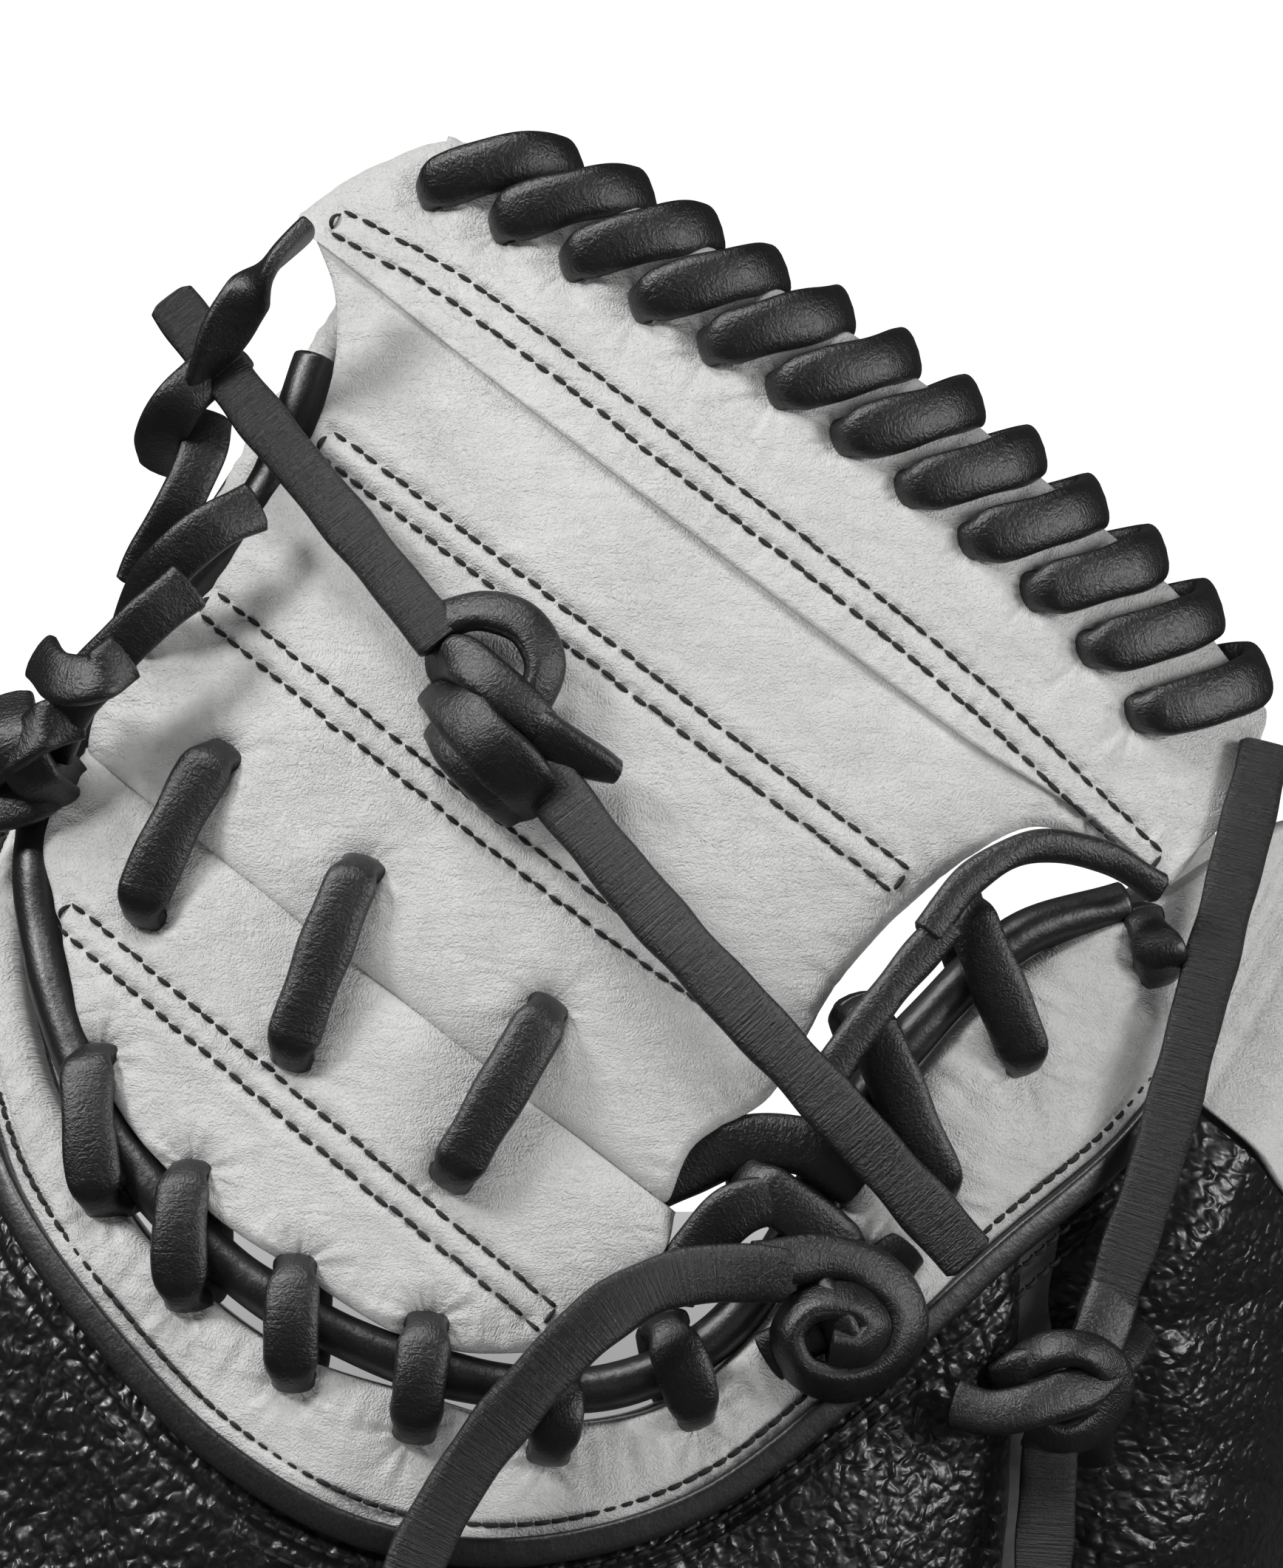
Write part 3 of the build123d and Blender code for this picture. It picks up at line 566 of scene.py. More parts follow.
def pebbled_leather():
    """Glossy black leather with a rounded pebble grain, painted lighter on the pebble tops as a highlight and
    darker between them as shade, and long soft wrinkles.
    """
    n = Nodes("pebbled_leather")
    bent = warped(n, 0.35, 2.4)
    long_grain = n.add("ShaderNodeMapping",
                       {"Vector": bent, "Scale": (1.0, 0.72, 1), "Rotation": (0, 0, 0.5)})
    domes = n.cells(7.0, long_grain.outputs["Vector"], "SMOOTH_F1")
    domes = n.ramp(domes, [(0.0, 1.0), (0.42, 0.55), (0.8, 0.0)])
    small = n.cells(15.0, bent)
    wrinkles = n.noise(0.9, 3.0, 0.5, n.stretched(0.6, 1.7, 0.5), 0.5)
    fine = n.noise(46.0, 3.0, 0.55)
    normal = n.bump(wrinkles, 0.25, 0.0014)
    normal = n.bump(domes, 0.9, 0.00062, normal)
    normal = n.bump(small, 0.12, 0.00012, normal)
    normal = n.bump(fine, 0.10, 0.00006, normal)
    # The colour follows the pebble heights: lighter on the tops as a painted highlight, darker in the hollows
    # as painted shade.
    colour = n.ramp(domes, [(0.0, (0.002, 0.002, 0.002)), (1.0, (0.007, 0.007, 0.0075))])
    rough = n.ramp(n.noise(9.0, 4.0), [(0.3, 0.30), (0.75, 0.42)])
    return n.finish(Base_Color=colour, Roughness=rough, Normal=normal, Specular_IOR_Level=0.65)


def lace_leather(name="lace_leather", ribs=0.15, rib_scale=3.4):
    """Smooth black rawhide with a satin top, fine grain and creases across its length."""
    n = Nodes(name)
    cross = n.noise(3.2, 5.0, 0.65, n.stretched(rib_scale, 0.4), 0.3)
    grain = n.noise(30.0, 6.0, 0.7)
    pits = n.cells(24.0, warped(n, 0.2, 6.0))
    normal = n.bump(cross, ribs, 0.0011)
    normal = n.bump(pits, 0.5, 0.00014, normal)
    normal = n.bump(grain, 0.5, 0.00016, normal)
    colour = n.ramp(n.noise(4.0, 5.0, 0.65), [(0.3, (0.003, 0.003, 0.003)), (0.8, (0.009, 0.009, 0.0095))])
    rough = n.ramp(grain, [(0.25, 0.27), (0.75, 0.40)])
    return n.finish(Base_Color=colour, Roughness=rough, Normal=normal, Specular_IOR_Level=0.75)


def roll_leather():
    """The smooth black leather of the rolls and bindings."""
    n = Nodes("roll_leather")
    grain = n.noise(24.0, 6.0, 0.65)
    soft = n.noise(2.4, 3.0)
    normal = n.bump(soft, 0.25, 0.0008)
    normal = n.bump(grain, 0.3, 0.00018, normal)
    colour = n.ramp(grain, [(0.3, (0.004, 0.004, 0.004)), (0.8, (0.011, 0.011, 0.0115))])
    return n.finish(Base_Color=colour, Roughness=n.ramp(grain, [(0.3, 0.27), (0.7, 0.42)]), Normal=normal,
                    Specular_IOR_Level=0.8)


def thread():
    """Twisted black thread, painted grey on the highest strands of its twist as a highlight."""
    n = Nodes("thread")
    twist = n.noise(5.0, 4.0, 0.7, n.stretched(5.0, 9.0, 0.9))
    # Grey where the twist stands highest, on the strands that the bump raises: a painted highlight.
    colour = n.ramp(twist, [(0.35, (0.006, 0.006, 0.006)), (0.72, (0.02, 0.02, 0.02)),
                            (0.86, (0.16, 0.15, 0.145))])
    return n.finish(Base_Color=colour, Roughness=0.6, Normal=n.bump(twist, 0.8, 0.0003))


def lining_leather():
    """Soft dark lining that shows inside the hand opening."""
    n = Nodes("lining_leather")
    nap = n.noise(30.0, 8.0, 0.75)
    colour = n.ramp(n.noise(3.0, 4.0), [(0.3, (0.035, 0.035, 0.036)), (0.7, (0.06, 0.06, 0.062))])
    return n.finish(Base_Color=colour, Roughness=0.85, Normal=n.bump(nap, 0.5, 0.0005), Sheen_Weight=0.2)


def wool():
    """Dense black wool pile."""
    n = Nodes("wool_pile")
    curls = n.noise(14.0, 8.0, 0.8, distortion=1.5)
    colour = n.ramp(curls, [(0.3, (0.01, 0.01, 0.01)), (0.7, (0.06, 0.06, 0.06))])
    return n.finish(Base_Color=colour, Roughness=0.95, Normal=n.bump(curls, 1.0, 0.0015), Sheen_Weight=0.5)


def stage_white():
    n = Nodes("stage_white")
    tone = n.ramp(n.noise(0.4, 2.0), [(0.3, (0.86, 0.86, 0.86)), (0.7, (0.88, 0.88, 0.88))])
    return n.finish(Base_Color=tone, Roughness=0.9)


GREY = grey_leather()
PEBBLE = pebbled_leather()
LACE = lace_leather()
TAIL = lace_leather("tail_leather", 0.55, 7.5)
ROLL = roll_leather()
THREAD = thread()
LINING = lining_leather()
WOOL = wool()


# ---- camera and free lace ends, before everything else ----
def set_camera():
    camera_data = bpy.data.cameras.new("camera")
    camera = bpy.data.objects.new("camera", camera_data)
    bpy.context.scene.collection.objects.link(camera)
    distance = 1.5
    camera.location = (0.0546, -0.045 - distance, 0.2183)
    camera.rotation_euler = (math.radians(90), 0, 0)
    camera_data.lens = 36 * distance / 0.2165
    camera_data.clip_start = 0.01
    camera_data.clip_end = 20
    bpy.context.scene.camera = camera


set_camera()

CORD_ROUTES = {
    "centre_tail_upper": [(27, 238, 5), (11.6, 257, 8), (-1.1, 272.2, 10), (-11.7, 286.5, 12)],
    "centre_tail_long": [(39.4, 221.6, 4), (52.1, 205.1, 6), (67.2, 188.7, 8), (85, 169.7, 9),
                         (100, 152.5, 8)],
    "crotch_tail": [(75, 150.5, 6), (63.4, 152, 8), (50.8, 147.5, 9), (39.4, 136, 8), (29.3, 123, 6),
                    (21.5, 108, 6), (17.5, 88, 6), (18, 66, 6), (22, 48, 8)],
    "thumb_strap": [(142.5, 224, 6.5), (137.5, 204.7, 7), (132.5, 187.3, 8), (127.8, 169.3, 8),
                    (122, 151.8, 7), (118.5, 143, 6)],
    "thumb_tail": [(111.5, 127.5, 6), (110.6, 111, 8), (109, 92, 9), (106, 73, 10), (104, 56, 11)],
}


def off_web(x, z, rise):
    """The point that stands `rise` off the back of the web below (x, z)."""
    return web_point(x, z, -rise)


def in_line(off, x, z, rise):
    """The point standing off a surface that is seen at (x, z) from straight behind."""
    aim_x, aim_z = x, z
    for _ in range(10):
        spot = off(aim_x, aim_z, rise)
        aim_x = aim_x + x - spot[0]
        aim_z = aim_z + z - spot[2]
    return off(aim_x, aim_z, rise)


def route_points(name):
    """The cord's route as in the CAD model, in millimetres."""
    off = off_web if name == "centre_tail_upper" else off_body
    return [in_line(off, x, z, rise) for x, z, rise in CORD_ROUTES[name]]


def spline_path(points):
    """The points of a NURBS spline through a route, and their length in metres."""
    data = bpy.data.curves.new("route", "CURVE")
    data.dimensions = "3D"
    data.resolution_u = 24
    spline = data.splines.new("NURBS")
    spline.points.add(len(points) - 1)
    for spot, point in zip(spline.points, points):
        spot.co = (*(point * MM), 1)
    spline.order_u = 3
    spline.use_endpoint_u = True
    obj = bpy.data.objects.new("route", data)
    mesh = bpy.data.meshes.new_from_object(obj)
    path = np.array([vertex.co[:] for vertex in mesh.vertices])
    bpy.data.objects.remove(obj)
    bpy.data.meshes.remove(mesh)
    return path, float(np.sum(np.linalg.norm(np.diff(path, axis=0), axis=1)))


def facing_out(points):
    """At each point of a path, the direction along the leather and across the lace."""
    tangent = np.gradient(points, axis=0)
    return np.cross(tangent, np.broadcast_to(TO_THE_BACK, points.shape))


CORD_BODY = {"centre_tail_upper": "finger_side", "centre_tail_long": "finger_side",
             "crotch_tail": "finger_side", "thumb_strap": "thumb_side", "thumb_tail": "thumb_side"}
CORD_WIDTH = {"centre_tail_upper": 7.2, "centre_tail_long": 8.0, "crotch_tail": 8.0,
              "thumb_strap": 7.6, "thumb_tail": 8.0}
for seed, name in enumerate(CORD_ROUTES):
    path, length = spline_path(route_points(name))
    fine = resample(path / MM, np.linspace(0, 1, 160))
    lace = ribbon("lace_" + name, fine, facing_out(fine), TAIL, width=CORD_WIDTH[name], thick=2.5,
                  seed=seed + 3, ruffle=0.3, dome=0.12)
    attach(lace, CORD_BODY[name])
    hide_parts(name)


# ---- the web ----
def outline_grid(lower, upper, left, right, rows, columns):
    """Places in the XZ plane filled in between four outlines."""
    a, b = np.linspace(0, 1, rows), np.linspace(0, 1, columns)
    low, high = smooth_line(lower, rows)[:, None], smooth_line(upper, rows)[:, None]
    west, east = smooth_line(left, columns)[None], smooth_line(right, columns)[None]
    a, b = a[:, None, None], b[None, :, None]
    corners = [np.array(c, float) for c in (lower[0], lower[-1], upper[0], upper[-1])]
    blend = ((1 - a) * (1 - b) * corners[0] + a * (1 - b) * corners[1]
             + (1 - a) * b * corners[2] + a * b * corners[3])
    plan = low * (1 - b) + high * b + west * (1 - a) + east * a - blend
    return plan[..., 0], plan[..., 1]


def rim_holes():
    """Each rim lace as its hole and the place where it passes over the rim."""
    over = smooth_line(RIM, 400)
    pairs = []
    reach = RIM_HOLE_INSET / math.sin(RIM_LACE_CUT)
    back = reach * np.array([math.cos(RIM_LACE_LEAN), math.sin(RIM_LACE_LEAN)])
    for k in range(RIM_LACE_COUNT):
        fraction = RIM_LACE_START + RIM_LACE_SPAN * k / (RIM_LACE_COUNT - 1)
        spot = over[int(round(fraction * (len(over) - 1)))]
        pairs.append((spot - back, spot))
    return pairs


def stitch_rows():
    """The middle lines of all the stitch rows on the web, two for each double row."""
    rows = []
    for line in STITCH_LINES:
        middle = smooth_line(line, 120)
        step = unit(np.gradient(middle, axis=0))
        side = np.stack([-step[:, 1], step[:, 0]], -1) * STITCH_ROW_GAP / 2
        rows += [middle + side, middle - side]
    return rows


def with_ends(pair):
    """A double row with the short runs of stitches that close it at both ends."""
    first, second = pair
    caps = [np.linspace(a, b, 20) for a, b in ((first[0], second[0]), (first[-1], second[-1]))]
    return [first, second] + caps


STITCH_ROWS = stitch_rows()
WEB_HOLES = ([a for a, b in rim_holes()] + [np.array(p) for pair in JOINER_LOOPS for p in pair]
             + [np.array(a) for a, b in PERIMETER_LOOPS])


def hole_dents(x, z, holes, depth=2.0, reach=3.3):
    """How far leather is pulled in round lace holes, with small creases that run out from each."""
    total = np.zeros(np.shape(x))
    for k, (hx, hz) in enumerate(holes):
        calm = 0.25 if any(math.dist((hx, hz), p) < 0.1 for pair in JOINER_LOOPS for p in pair) else 0.5
        gap = np.hypot(x - hx, z - hz)
        angle = np.arctan2(z - hz, x - hx)
        rays = 0.30 * np.sin(angle * 9 + k * 1.7) + 0.2 * np.sin(angle * 14 + k)
        near = bell(gap, reach)
        total += depth * near + calm * rays * bell(gap - 5.4, 3.8)
        total -= 0.45 * calm * bell(gap - 6.2, 2.2)
    return total


def edge_distance(x, z, outline):
    """Distance from many places to an outline, and how far along it they are."""
    gap, _, at = distance_to(smooth_line(outline, 90), x, z)
    return gap, at


def web_relief(x, z, outlines, seed):
    """How far below its smooth surface the web's leather lies: stitches, holes, edges and wrinkles."""
    depth = 0.42 * ripples(x, z, 34, seed) + 0.11 * ripples(x, z, 12, seed + 1)
    depth = depth + 0.02 * ripples(x, z, 5, seed + 2)
    # Long soft wrinkles run along the web, deeper towards the thumb side.
    along = WEB_HEADING[0] * x - WEB_HEADING[1] * z
    over = WEB_HEADING[1] * x + WEB_HEADING[0] * z
    depth = depth + 0.055 * ripples(along * 0.35, over, 6, seed + 3) * (0.3 + 0.9 * ease((x - 20) / 80))
    for row in STITCH_ROWS:
        gap, _, at = distance_to(row[::4], x, z)
        pull = 0.75 + 0.25 * np.cos(at * 2 * math.pi / STITCH_PITCH)
        depth = depth + 0.62 * pull * bell(gap, 0.85) - 0.22 * bell(gap - 2.2, 1.2)
    depth = depth + hole_dents(x, z, WEB_HOLES)
    for outline, roll, drop in outlines:
        gap, at = edge_distance(x, z, outline)
        depth = depth + rounded(gap, roll, drop)
        if roll < 5:
            pucker = np.sin(at * 2 * math.pi / 4.6 + 2 * np.sin(at / 9.0))
            pucker = pucker + 0.5 * np.sin(at * 2 * math.pi / 2.3)
            depth = depth + 0.10 * pucker * bell(gap - 3.2, 3.0)
    return depth


def web_slab(name, sides, rows, columns, outlines, seed, raise_by=0.0):
    """One piece of the web between its four outlines, with relief on both faces."""
    x, z = outline_grid(*sides, rows, columns)
    relief = web_relief(x, z, outlines, seed)
    back = web_point(x, z, np.clip(relief - raise_by, -1.6, WEB_THICKNESS / 2 - 0.2))
    front_relief = 0.35 * ripples(x, z, 30, seed + 9) + hole_dents(x, z, WEB_HOLES, 0.8)
    for outline, roll, drop in outlines:
        front_relief = front_relief + rounded(edge_distance(x, z, outline)[0], roll, drop)
    front = web_point(x, z, WEB_THICKNESS - np.clip(front_relief - raise_by, -1.6, WEB_THICKNESS / 2 - 0.2))
    return slab(name, back, front, np.stack([x, z], -1), GREY)


FOLD_MEET = np.array([1.15, 1.55])      # the two folds are pressed together: each edge moves this far
upper_fold = [tuple(np.array(p) - FOLD_MEET) for p in UPPER_FOLD]
moon_fold = [tuple(np.array(p) + FOLD_MEET) for p in MOON_FOLD]
UPPER_SIDES = (upper_fold, RIM, [upper_fold[0]] + UPPER_LEFT[1:], [upper_fold[1]] + UPPER_RIGHT[1:])
MOON_SIDES = (MOON_BOTTOM, moon_fold, MOON_LEFT[:-1] + [moon_fold[0]], MOON_RIGHT[:-1] + [moon_fold[1]])
BAND_SIDES = (BAND_EDGE, RIM, [BAND_EDGE[0], RIM[0]], [BAND_EDGE[-1], (136.6, 214), RIM[-1]])
# Each outline with how far in from it the leather starts to curve over, and how deep it goes.
UPPER_OUTLINES = [(UPPER_SIDES[0], 8.5, 3.3), (UPPER_SIDES[2], 2.0, 1.7), (UPPER_SIDES[3], 2.2, 2.0),
                  (RIM, 2.4, 2.0)]
MOON_OUTLINES = [(MOON_BOTTOM, 2.2, 2.0), (MOON_SIDES[1], 8.0, 3.3), (MOON_SIDES[2], 2.0, 1.7),
                 (MOON_SIDES[3], 2.0, 1.7)]
BAND_OUTLINES = [(RIM, 4.4, 3.5), (BAND_EDGE, 0.7, 0.6)]
UPPER_SEED, MOON_SEED, BAND_SEED = 11, 23, 11   # which wrinkles each piece of the web has
BAND_RISE = 1.5            # how far the folded band stands off the web
web_upper = web_slab("web_upper", UPPER_SIDES, 520, 330, UPPER_OUTLINES, UPPER_SEED)
web_moon = web_slab("web_half_moon", MOON_SIDES, 360, 190, MOON_OUTLINES, MOON_SEED)
web_band = web_slab("web_rim_band", BAND_SIDES, 520, 110, BAND_OUTLINES, BAND_SEED, BAND_RISE)


# ---- the body: gusset, back, palm and edges ----
PERIMETER_HOLES = [np.array(b, float) for a, b in PERIMETER_LOOPS]


def span_grid(round_span, out_span, rows, columns):
    """Places of the U, with their width and height on the back for textures."""
    round_u = np.linspace(*round_span, rows)[:, None] * np.ones((1, columns))
    low, high = [span(round_u) if callable(span) else span * np.ones_like(round_u) for span in out_span]
    out = low + (high - low) * np.linspace(0, 1, columns)[None]
    along, height_angle = u_place(round_u, out)
    uv = np.stack([along, np.radians(height_angle) * FOLD_RADIUS], -1)
    return round_u, out, along, height_angle, uv


def seam_at(amount):
    """A function for a place `amount` outside the seam."""
    return lambda round_u: seam_fraction(round_u) + amount


def edge_run(points):
    """Length along the first axis of a grid of points."""
    step = np.linalg.norm(np.diff(points, axis=0), axis=-1)
    return np.concatenate([np.zeros((1,) + step.shape[1:]), np.cumsum(step, axis=0)])


def gusset():
    """The pale strip round the web, pulled up into a rounded, puckered edge by the laces."""
    q, out, along, height, uv = span_grid((0, 1), (0, seam_at(0.004)), 1500, 90)
    plain = body_point(along, height, 0)
    x, z = plain[..., 0], plain[..., 2]
    depth = 0.5 * ripples(uv[..., 0], uv[..., 1], 30, 41) + 0.12 * ripples(uv[..., 0], uv[..., 1], 9, 42)
    depth += hole_dents(x, z, PERIMETER_HOLES, 1.2, 3.0)
    run = edge_run(plain)[:, :1] * np.ones_like(x)
    from_edge = np.linalg.norm(plain - plain[:, :1], axis=-1)
    pucker = np.sin(run * 2 * math.pi / 5.2 + 1.6 * np.sin(run / 11)) + 0.5 * np.sin(run * 2 * math.pi / 2.7)
    depth += 0.16 * pucker * bell(from_edge - 4.5, 4.0)
    depth += rounded(from_edge, 4.0, 3.2)
    to_seam = np.linalg.norm(plain - plain[:, -1:], axis=-1)
    depth += 0.5 * bell(to_seam - 1.6, 0.6) + 0.35 * bell(to_seam - 4.6, 0.5)
    # Skin heaps up a little between the crotch and the deep crease of the thumb.
    depth -= 1.5 * np.exp(-(((x - 84) / 14) ** 2 + ((z - 158) / 13) ** 2))
    depth += 1.2 * np.exp(-(((x - 92 - (z - 158) * 0.5) / 3.5) ** 2 + ((z - 160) / 13) ** 2))
    back = body_point(along, height, np.clip(depth, -4, 6))
    inner = body_point(along, height, np.clip(depth, -4, 6) + LEATHER)
    return slab("gusset_skin", back, inner, uv, GREY)


def back_shell(name, round_span, material, rows, columns, hole=True, lower=1.0):
    """The leather over the back of the hand, with its padding showing as soft bulges."""
    q, out, along, height, uv = span_grid(round_span, (seam_at(0.008), lower), rows, columns)
    plain = body_point(along, height, 0)
    x, z = plain[..., 0], plain[..., 2]
    depth = 0.9 * ripples(uv[..., 0], uv[..., 1], 46, 51) + 0.12 * ripples(uv[..., 0], uv[..., 1], 15, 52)
    to_seam = np.linalg.norm(plain - plain[:, :1], axis=-1)
    inset = ease(to_seam / 14)
    # The thumb's padding stands proud behind a deep crease that runs down from the crotch.
    crease_x = 116 + (z - 150) * 0.16 + 3 * np.sin(z / 14)
    from_crease = x - crease_x
    reach = ease((z - 60) / 60) * ease((185 - z) / 20)
    depth -= 9.0 * ease(from_crease / 14) * ease((q - 0.62) / 0.04) * inset
    depth += 6.0 * bell(from_crease + 2.0, 4.0) * reach * (q > 0.6)
    for k in range(9):
        line = 70 + 12.5 * k + 5 * np.sin((x - crease_x) / 13 + k * 1.9)
        strength = bell(x - crease_x - 16, 20) * (q > 0.6)
        depth += 0.6 * bell(z - line, 2.6) * strength
    for k in range(7):
        line = 12 + 13.5 * k + 4 * np.sin(x / 17 + k)
        depth += 0.22 * bell(z - line, 3.2) * bell(np.abs(x - 20) - 50, 30)
    depth += 0.6 * bell(to_seam - 1.0, 0.8) + 0.5 * bell(to_seam - 4.4, 0.6)
    far = np.linalg.norm(plain - plain[:, -1:], axis=-1)
    depth += rounded(far, 4, 2.2)
    back = body_point(along, height, np.clip(depth, -9.5, 7))
    inner = body_point(along, height, np.clip(depth, -9.5, 7) + LEATHER)
    inside = None
    if hole:
        (middle_x, middle_z), (half_x, half_z) = HAND_HOLE
        inside = ((x - middle_x) / half_x) ** 2 + ((z - middle_z) / half_z) ** 2 < 1
        inside = inside & (plain[..., 1] < 0)
    return slab(name, back, inner, uv, material, inside)


def palm():
    """The palm leather over its padding, carried round the outer edge to meet the back."""
    columns_in, columns_wall = 170, 46
    q, out, along, height, uv = span_grid((0, 1), (0, 1), 900, columns_in)
    deep = thickness(q, out)
    swell = 1.6 * ripples(uv[..., 0], uv[..., 1], 60, 61) + 0.5 * ripples(uv[..., 0], uv[..., 1], 19, 62)
    swell += 0.14 * ripples(uv[..., 0], uv[..., 1], 6, 63)
    fold = 0.0
    for k in range(5):
        centre = CREASE + 0.035 * (k - 2)
        fold = fold + (2.2 if k == 2 else 0.8) * bell(q - centre - 0.006 * np.sin(out * 9 + k), 0.0045)
    deep = deep - fold * ease((out - 0.15) / 0.3) + swell * 0.5 * ease(out / 0.3)
    stitched = 1.1 * bell(out - 0.93, 0.006)
    deep = deep - stitched
    front = body_point(along, height, deep)
    under = body_point(along, height, deep - LEATHER)
    # The wall: from the palm's edge round to the back's edge, bulging outward.
    last_q = q[:, -1:]
    turn = np.linspace(0, 1, columns_wall + 1)[None, 1:]
    edge_along, edge_height = u_place(last_q, np.ones_like(last_q))
    reach = deep[:, -1:] * (1 - turn) + 0.6 * turn
    wall_q = last_q * np.ones_like(turn)
    bulge = 4.5 * np.sin(np.pi * turn) ** 0.8 + 0.35 * ripples(wall_q * 900, turn * 30, 14, 64)
    nearly = u_place(last_q, 0.985 * np.ones_like(last_q))
    outward = unit(body_point(edge_along, edge_height, 5) - body_point(*nearly, 5))
    wall = body_point(edge_along * np.ones_like(turn), edge_height * np.ones_like(turn), reach)
    wall_out = wall + outward * bulge[..., None]
    wall_in = wall + outward * (bulge - LEATHER)[..., None]
    wall_uv = np.stack([uv[:, -1:, 0] + np.sign(edge_along) * 40 * turn, uv[:, -1:, 1] + 0 * turn], -1)
    outer = np.concatenate([front, wall_out], 1)
    inner = np.concatenate([under, wall_in], 1)
    return slab("palm_skin", outer, inner, np.concatenate([uv, wall_uv], 1), GREY), wall_out


def binding():
    """A narrow folded leather strip over the seam between gusset and back."""
    q = np.linspace(0.012, 0.90, 700)
    along, height = u_place(q, seam_fraction(q))
    points = body_point(along, height, -BINDING_RISE)
    ahead_along, ahead_height = u_place(q, seam_fraction(q) + 0.03)
    across = body_point(ahead_along, ahead_height, -BINDING_RISE) - points
    return ribbon("seam_binding", points, across, ROLL, width=4.2, thick=2.0, ruffle=0.05, seed=71, dome=0.1)


gusset_skin = gusset()
back_skin = back_shell("back_shell_skin", (0.01, THUMB_PANEL_END), PEBBLE, 1250, 240)
tip_skin = back_shell("thumb_tip_skin", (THUMB_PANEL_END + 0.003, 1.0), GREY, 160, 200, hole=False)
palm_skin, edge_wall = palm()
seam_binding = binding()


# ---- rolls, straps and lining ----
roll_points = [web_point(x, z, WEB_THICKNESS / 2) for x, z in ROLL_PATH]
web_roll = round_tube("web_roll", smooth_line(roll_points, 520), ROLL_RADIUS, ROLL, seed=81)

edge_q = np.linspace(0.012, 0.988, 640)
edge_along, edge_height = u_place(edge_q, np.ones_like(edge_q))
wall_q = np.linspace(0, 1, len(edge_wall))
wall_row = np.array([np.interp(edge_q, wall_q, edge_wall[:, 6, axis]) for axis in range(3)]).T
edge_roll = round_tube("palm_edge_welt", wall_row + np.array([0, 0.8, 0]) * np.ones_like(wall_row),
                       2.4, ROLL, seed=82)


def edge_laces():
    """Short lace wraps that close the outer edge."""
    wraps = []
    rows, columns = edge_wall.shape[:2]
    run = edge_run(edge_wall[:, 20:21])[:, 0]
    count = int(run[-1] / EDGE_LACE_PITCH)
    middle = edge_wall.mean(axis=1)
    for k in range(1, count):
        row = int(np.searchsorted(run, k * run[-1] / count))
        lean = int(rows * 0.006)
        picks = [(min(rows - 1, max(0, row + int(lean * (t - 0.5) * 2))), c)
                 for t, c in zip(np.linspace(0, 1, 7), np.linspace(3, columns - 3, 7).astype(int))]
        line = np.array([edge_wall[r, c] for r, c in picks])
        ahead = edge_wall[min(rows - 1, row + 3), 20] - edge_wall[max(0, row - 3), 20]
        push = unit(np.cross(ahead, line[-1] - line[0]))
        if np.dot(push, line[3] - (line[0] + line[-1]) / 2) < 0:
            push = -push
        lift = np.array([-1.2, 1.1, 1.5, 1.6, 1.5, 1.1, -1.2])
        path = smooth_line(line + push * lift[:, None], 26)
        path[:, 2] = np.maximum(path[:, 2], 1.6)
        wraps.append(ribbon("wrap", path, ahead, LACE, width=5.4, thick=2.0, seed=100 + k))
    return join("edge_lacing", wraps)


edge_lacing = edge_laces()


def surface_strap(name, along_span, height_span, back_depth, front_depth, material, rows=260, columns=60,
                  edge=1.1):
    """A strap or pad that follows the back between two depths, with a rounded, stitched edge."""
    along = np.linspace(*along_span, rows)[:, None] * np.ones((1, columns))
    height = np.linspace(*height_span, columns)[None] * np.ones((rows, 1))
    uv = np.stack([along, np.radians(height) * FOLD_RADIUS], -1)
    from_edge = np.minimum(np.minimum(uv[..., 0] - uv[:1, :1, 0], uv[-1:, -1:, 0] - uv[..., 0]),
                           np.minimum(uv[..., 1] - uv[:1, :1, 1], uv[-1:, -1:, 1] - uv[..., 1]))
    relief = rounded(from_edge, edge, edge)
    relief += 0.45 * bell(from_edge - 3.2, 0.5) + 0.10 * ripples(uv[..., 0], uv[..., 1], 9, 90)
    back = body_point(along, height, back_depth + relief)
    front = body_point(along, height, front_depth - 0.3 * relief)
    return slab(name, back, front, uv, material)


STRAP_BAND = (1.9, 5.6)
TAB_SPAN = (-44.0, 4.0)
strap = surface_strap("wrist_strap_skin", (-74, 84), STRAP_BAND, -3.4, -0.5, PEBBLE, 420, 80)
strap_tab = surface_strap("strap_pull_tab", TAB_SPAN, (2.5, 5.0), -7.0, -4.2, PEBBLE)
strap_patch = surface_strap("strap_hook_patch", (TAB_SPAN[0] + 3, TAB_SPAN[1] - 3), (2.7, 4.8), -4.2, -3.4,
                            WOOL)
wool_pad = surface_strap("wrist_wool", (-56, 20), (2.2, 5.2), LEATHER + 0.6, LEATHER + 6.5, WOOL)


def lining(name, round_span, out_span, depth, rows, columns, material, seed):
    """A thin lining over the padding, as it shows through the hand openings."""
    q, out, along, height, uv = span_grid(round_span, out_span, rows, columns)
    soft = 0.6 * ripples(uv[..., 0], uv[..., 1], 24, seed)
    face = np.minimum(depth(q, out) + soft, thickness(q, out) - 2 * LEATHER - 1)
    return slab(name, body_point(along, height, face), body_point(along, height, face + 1.2), uv, material)


hand_lining = lining("hand_lining", (0.09, 0.92), (0.14, 0.985), hand_space, 420, 120, LINING, 91)


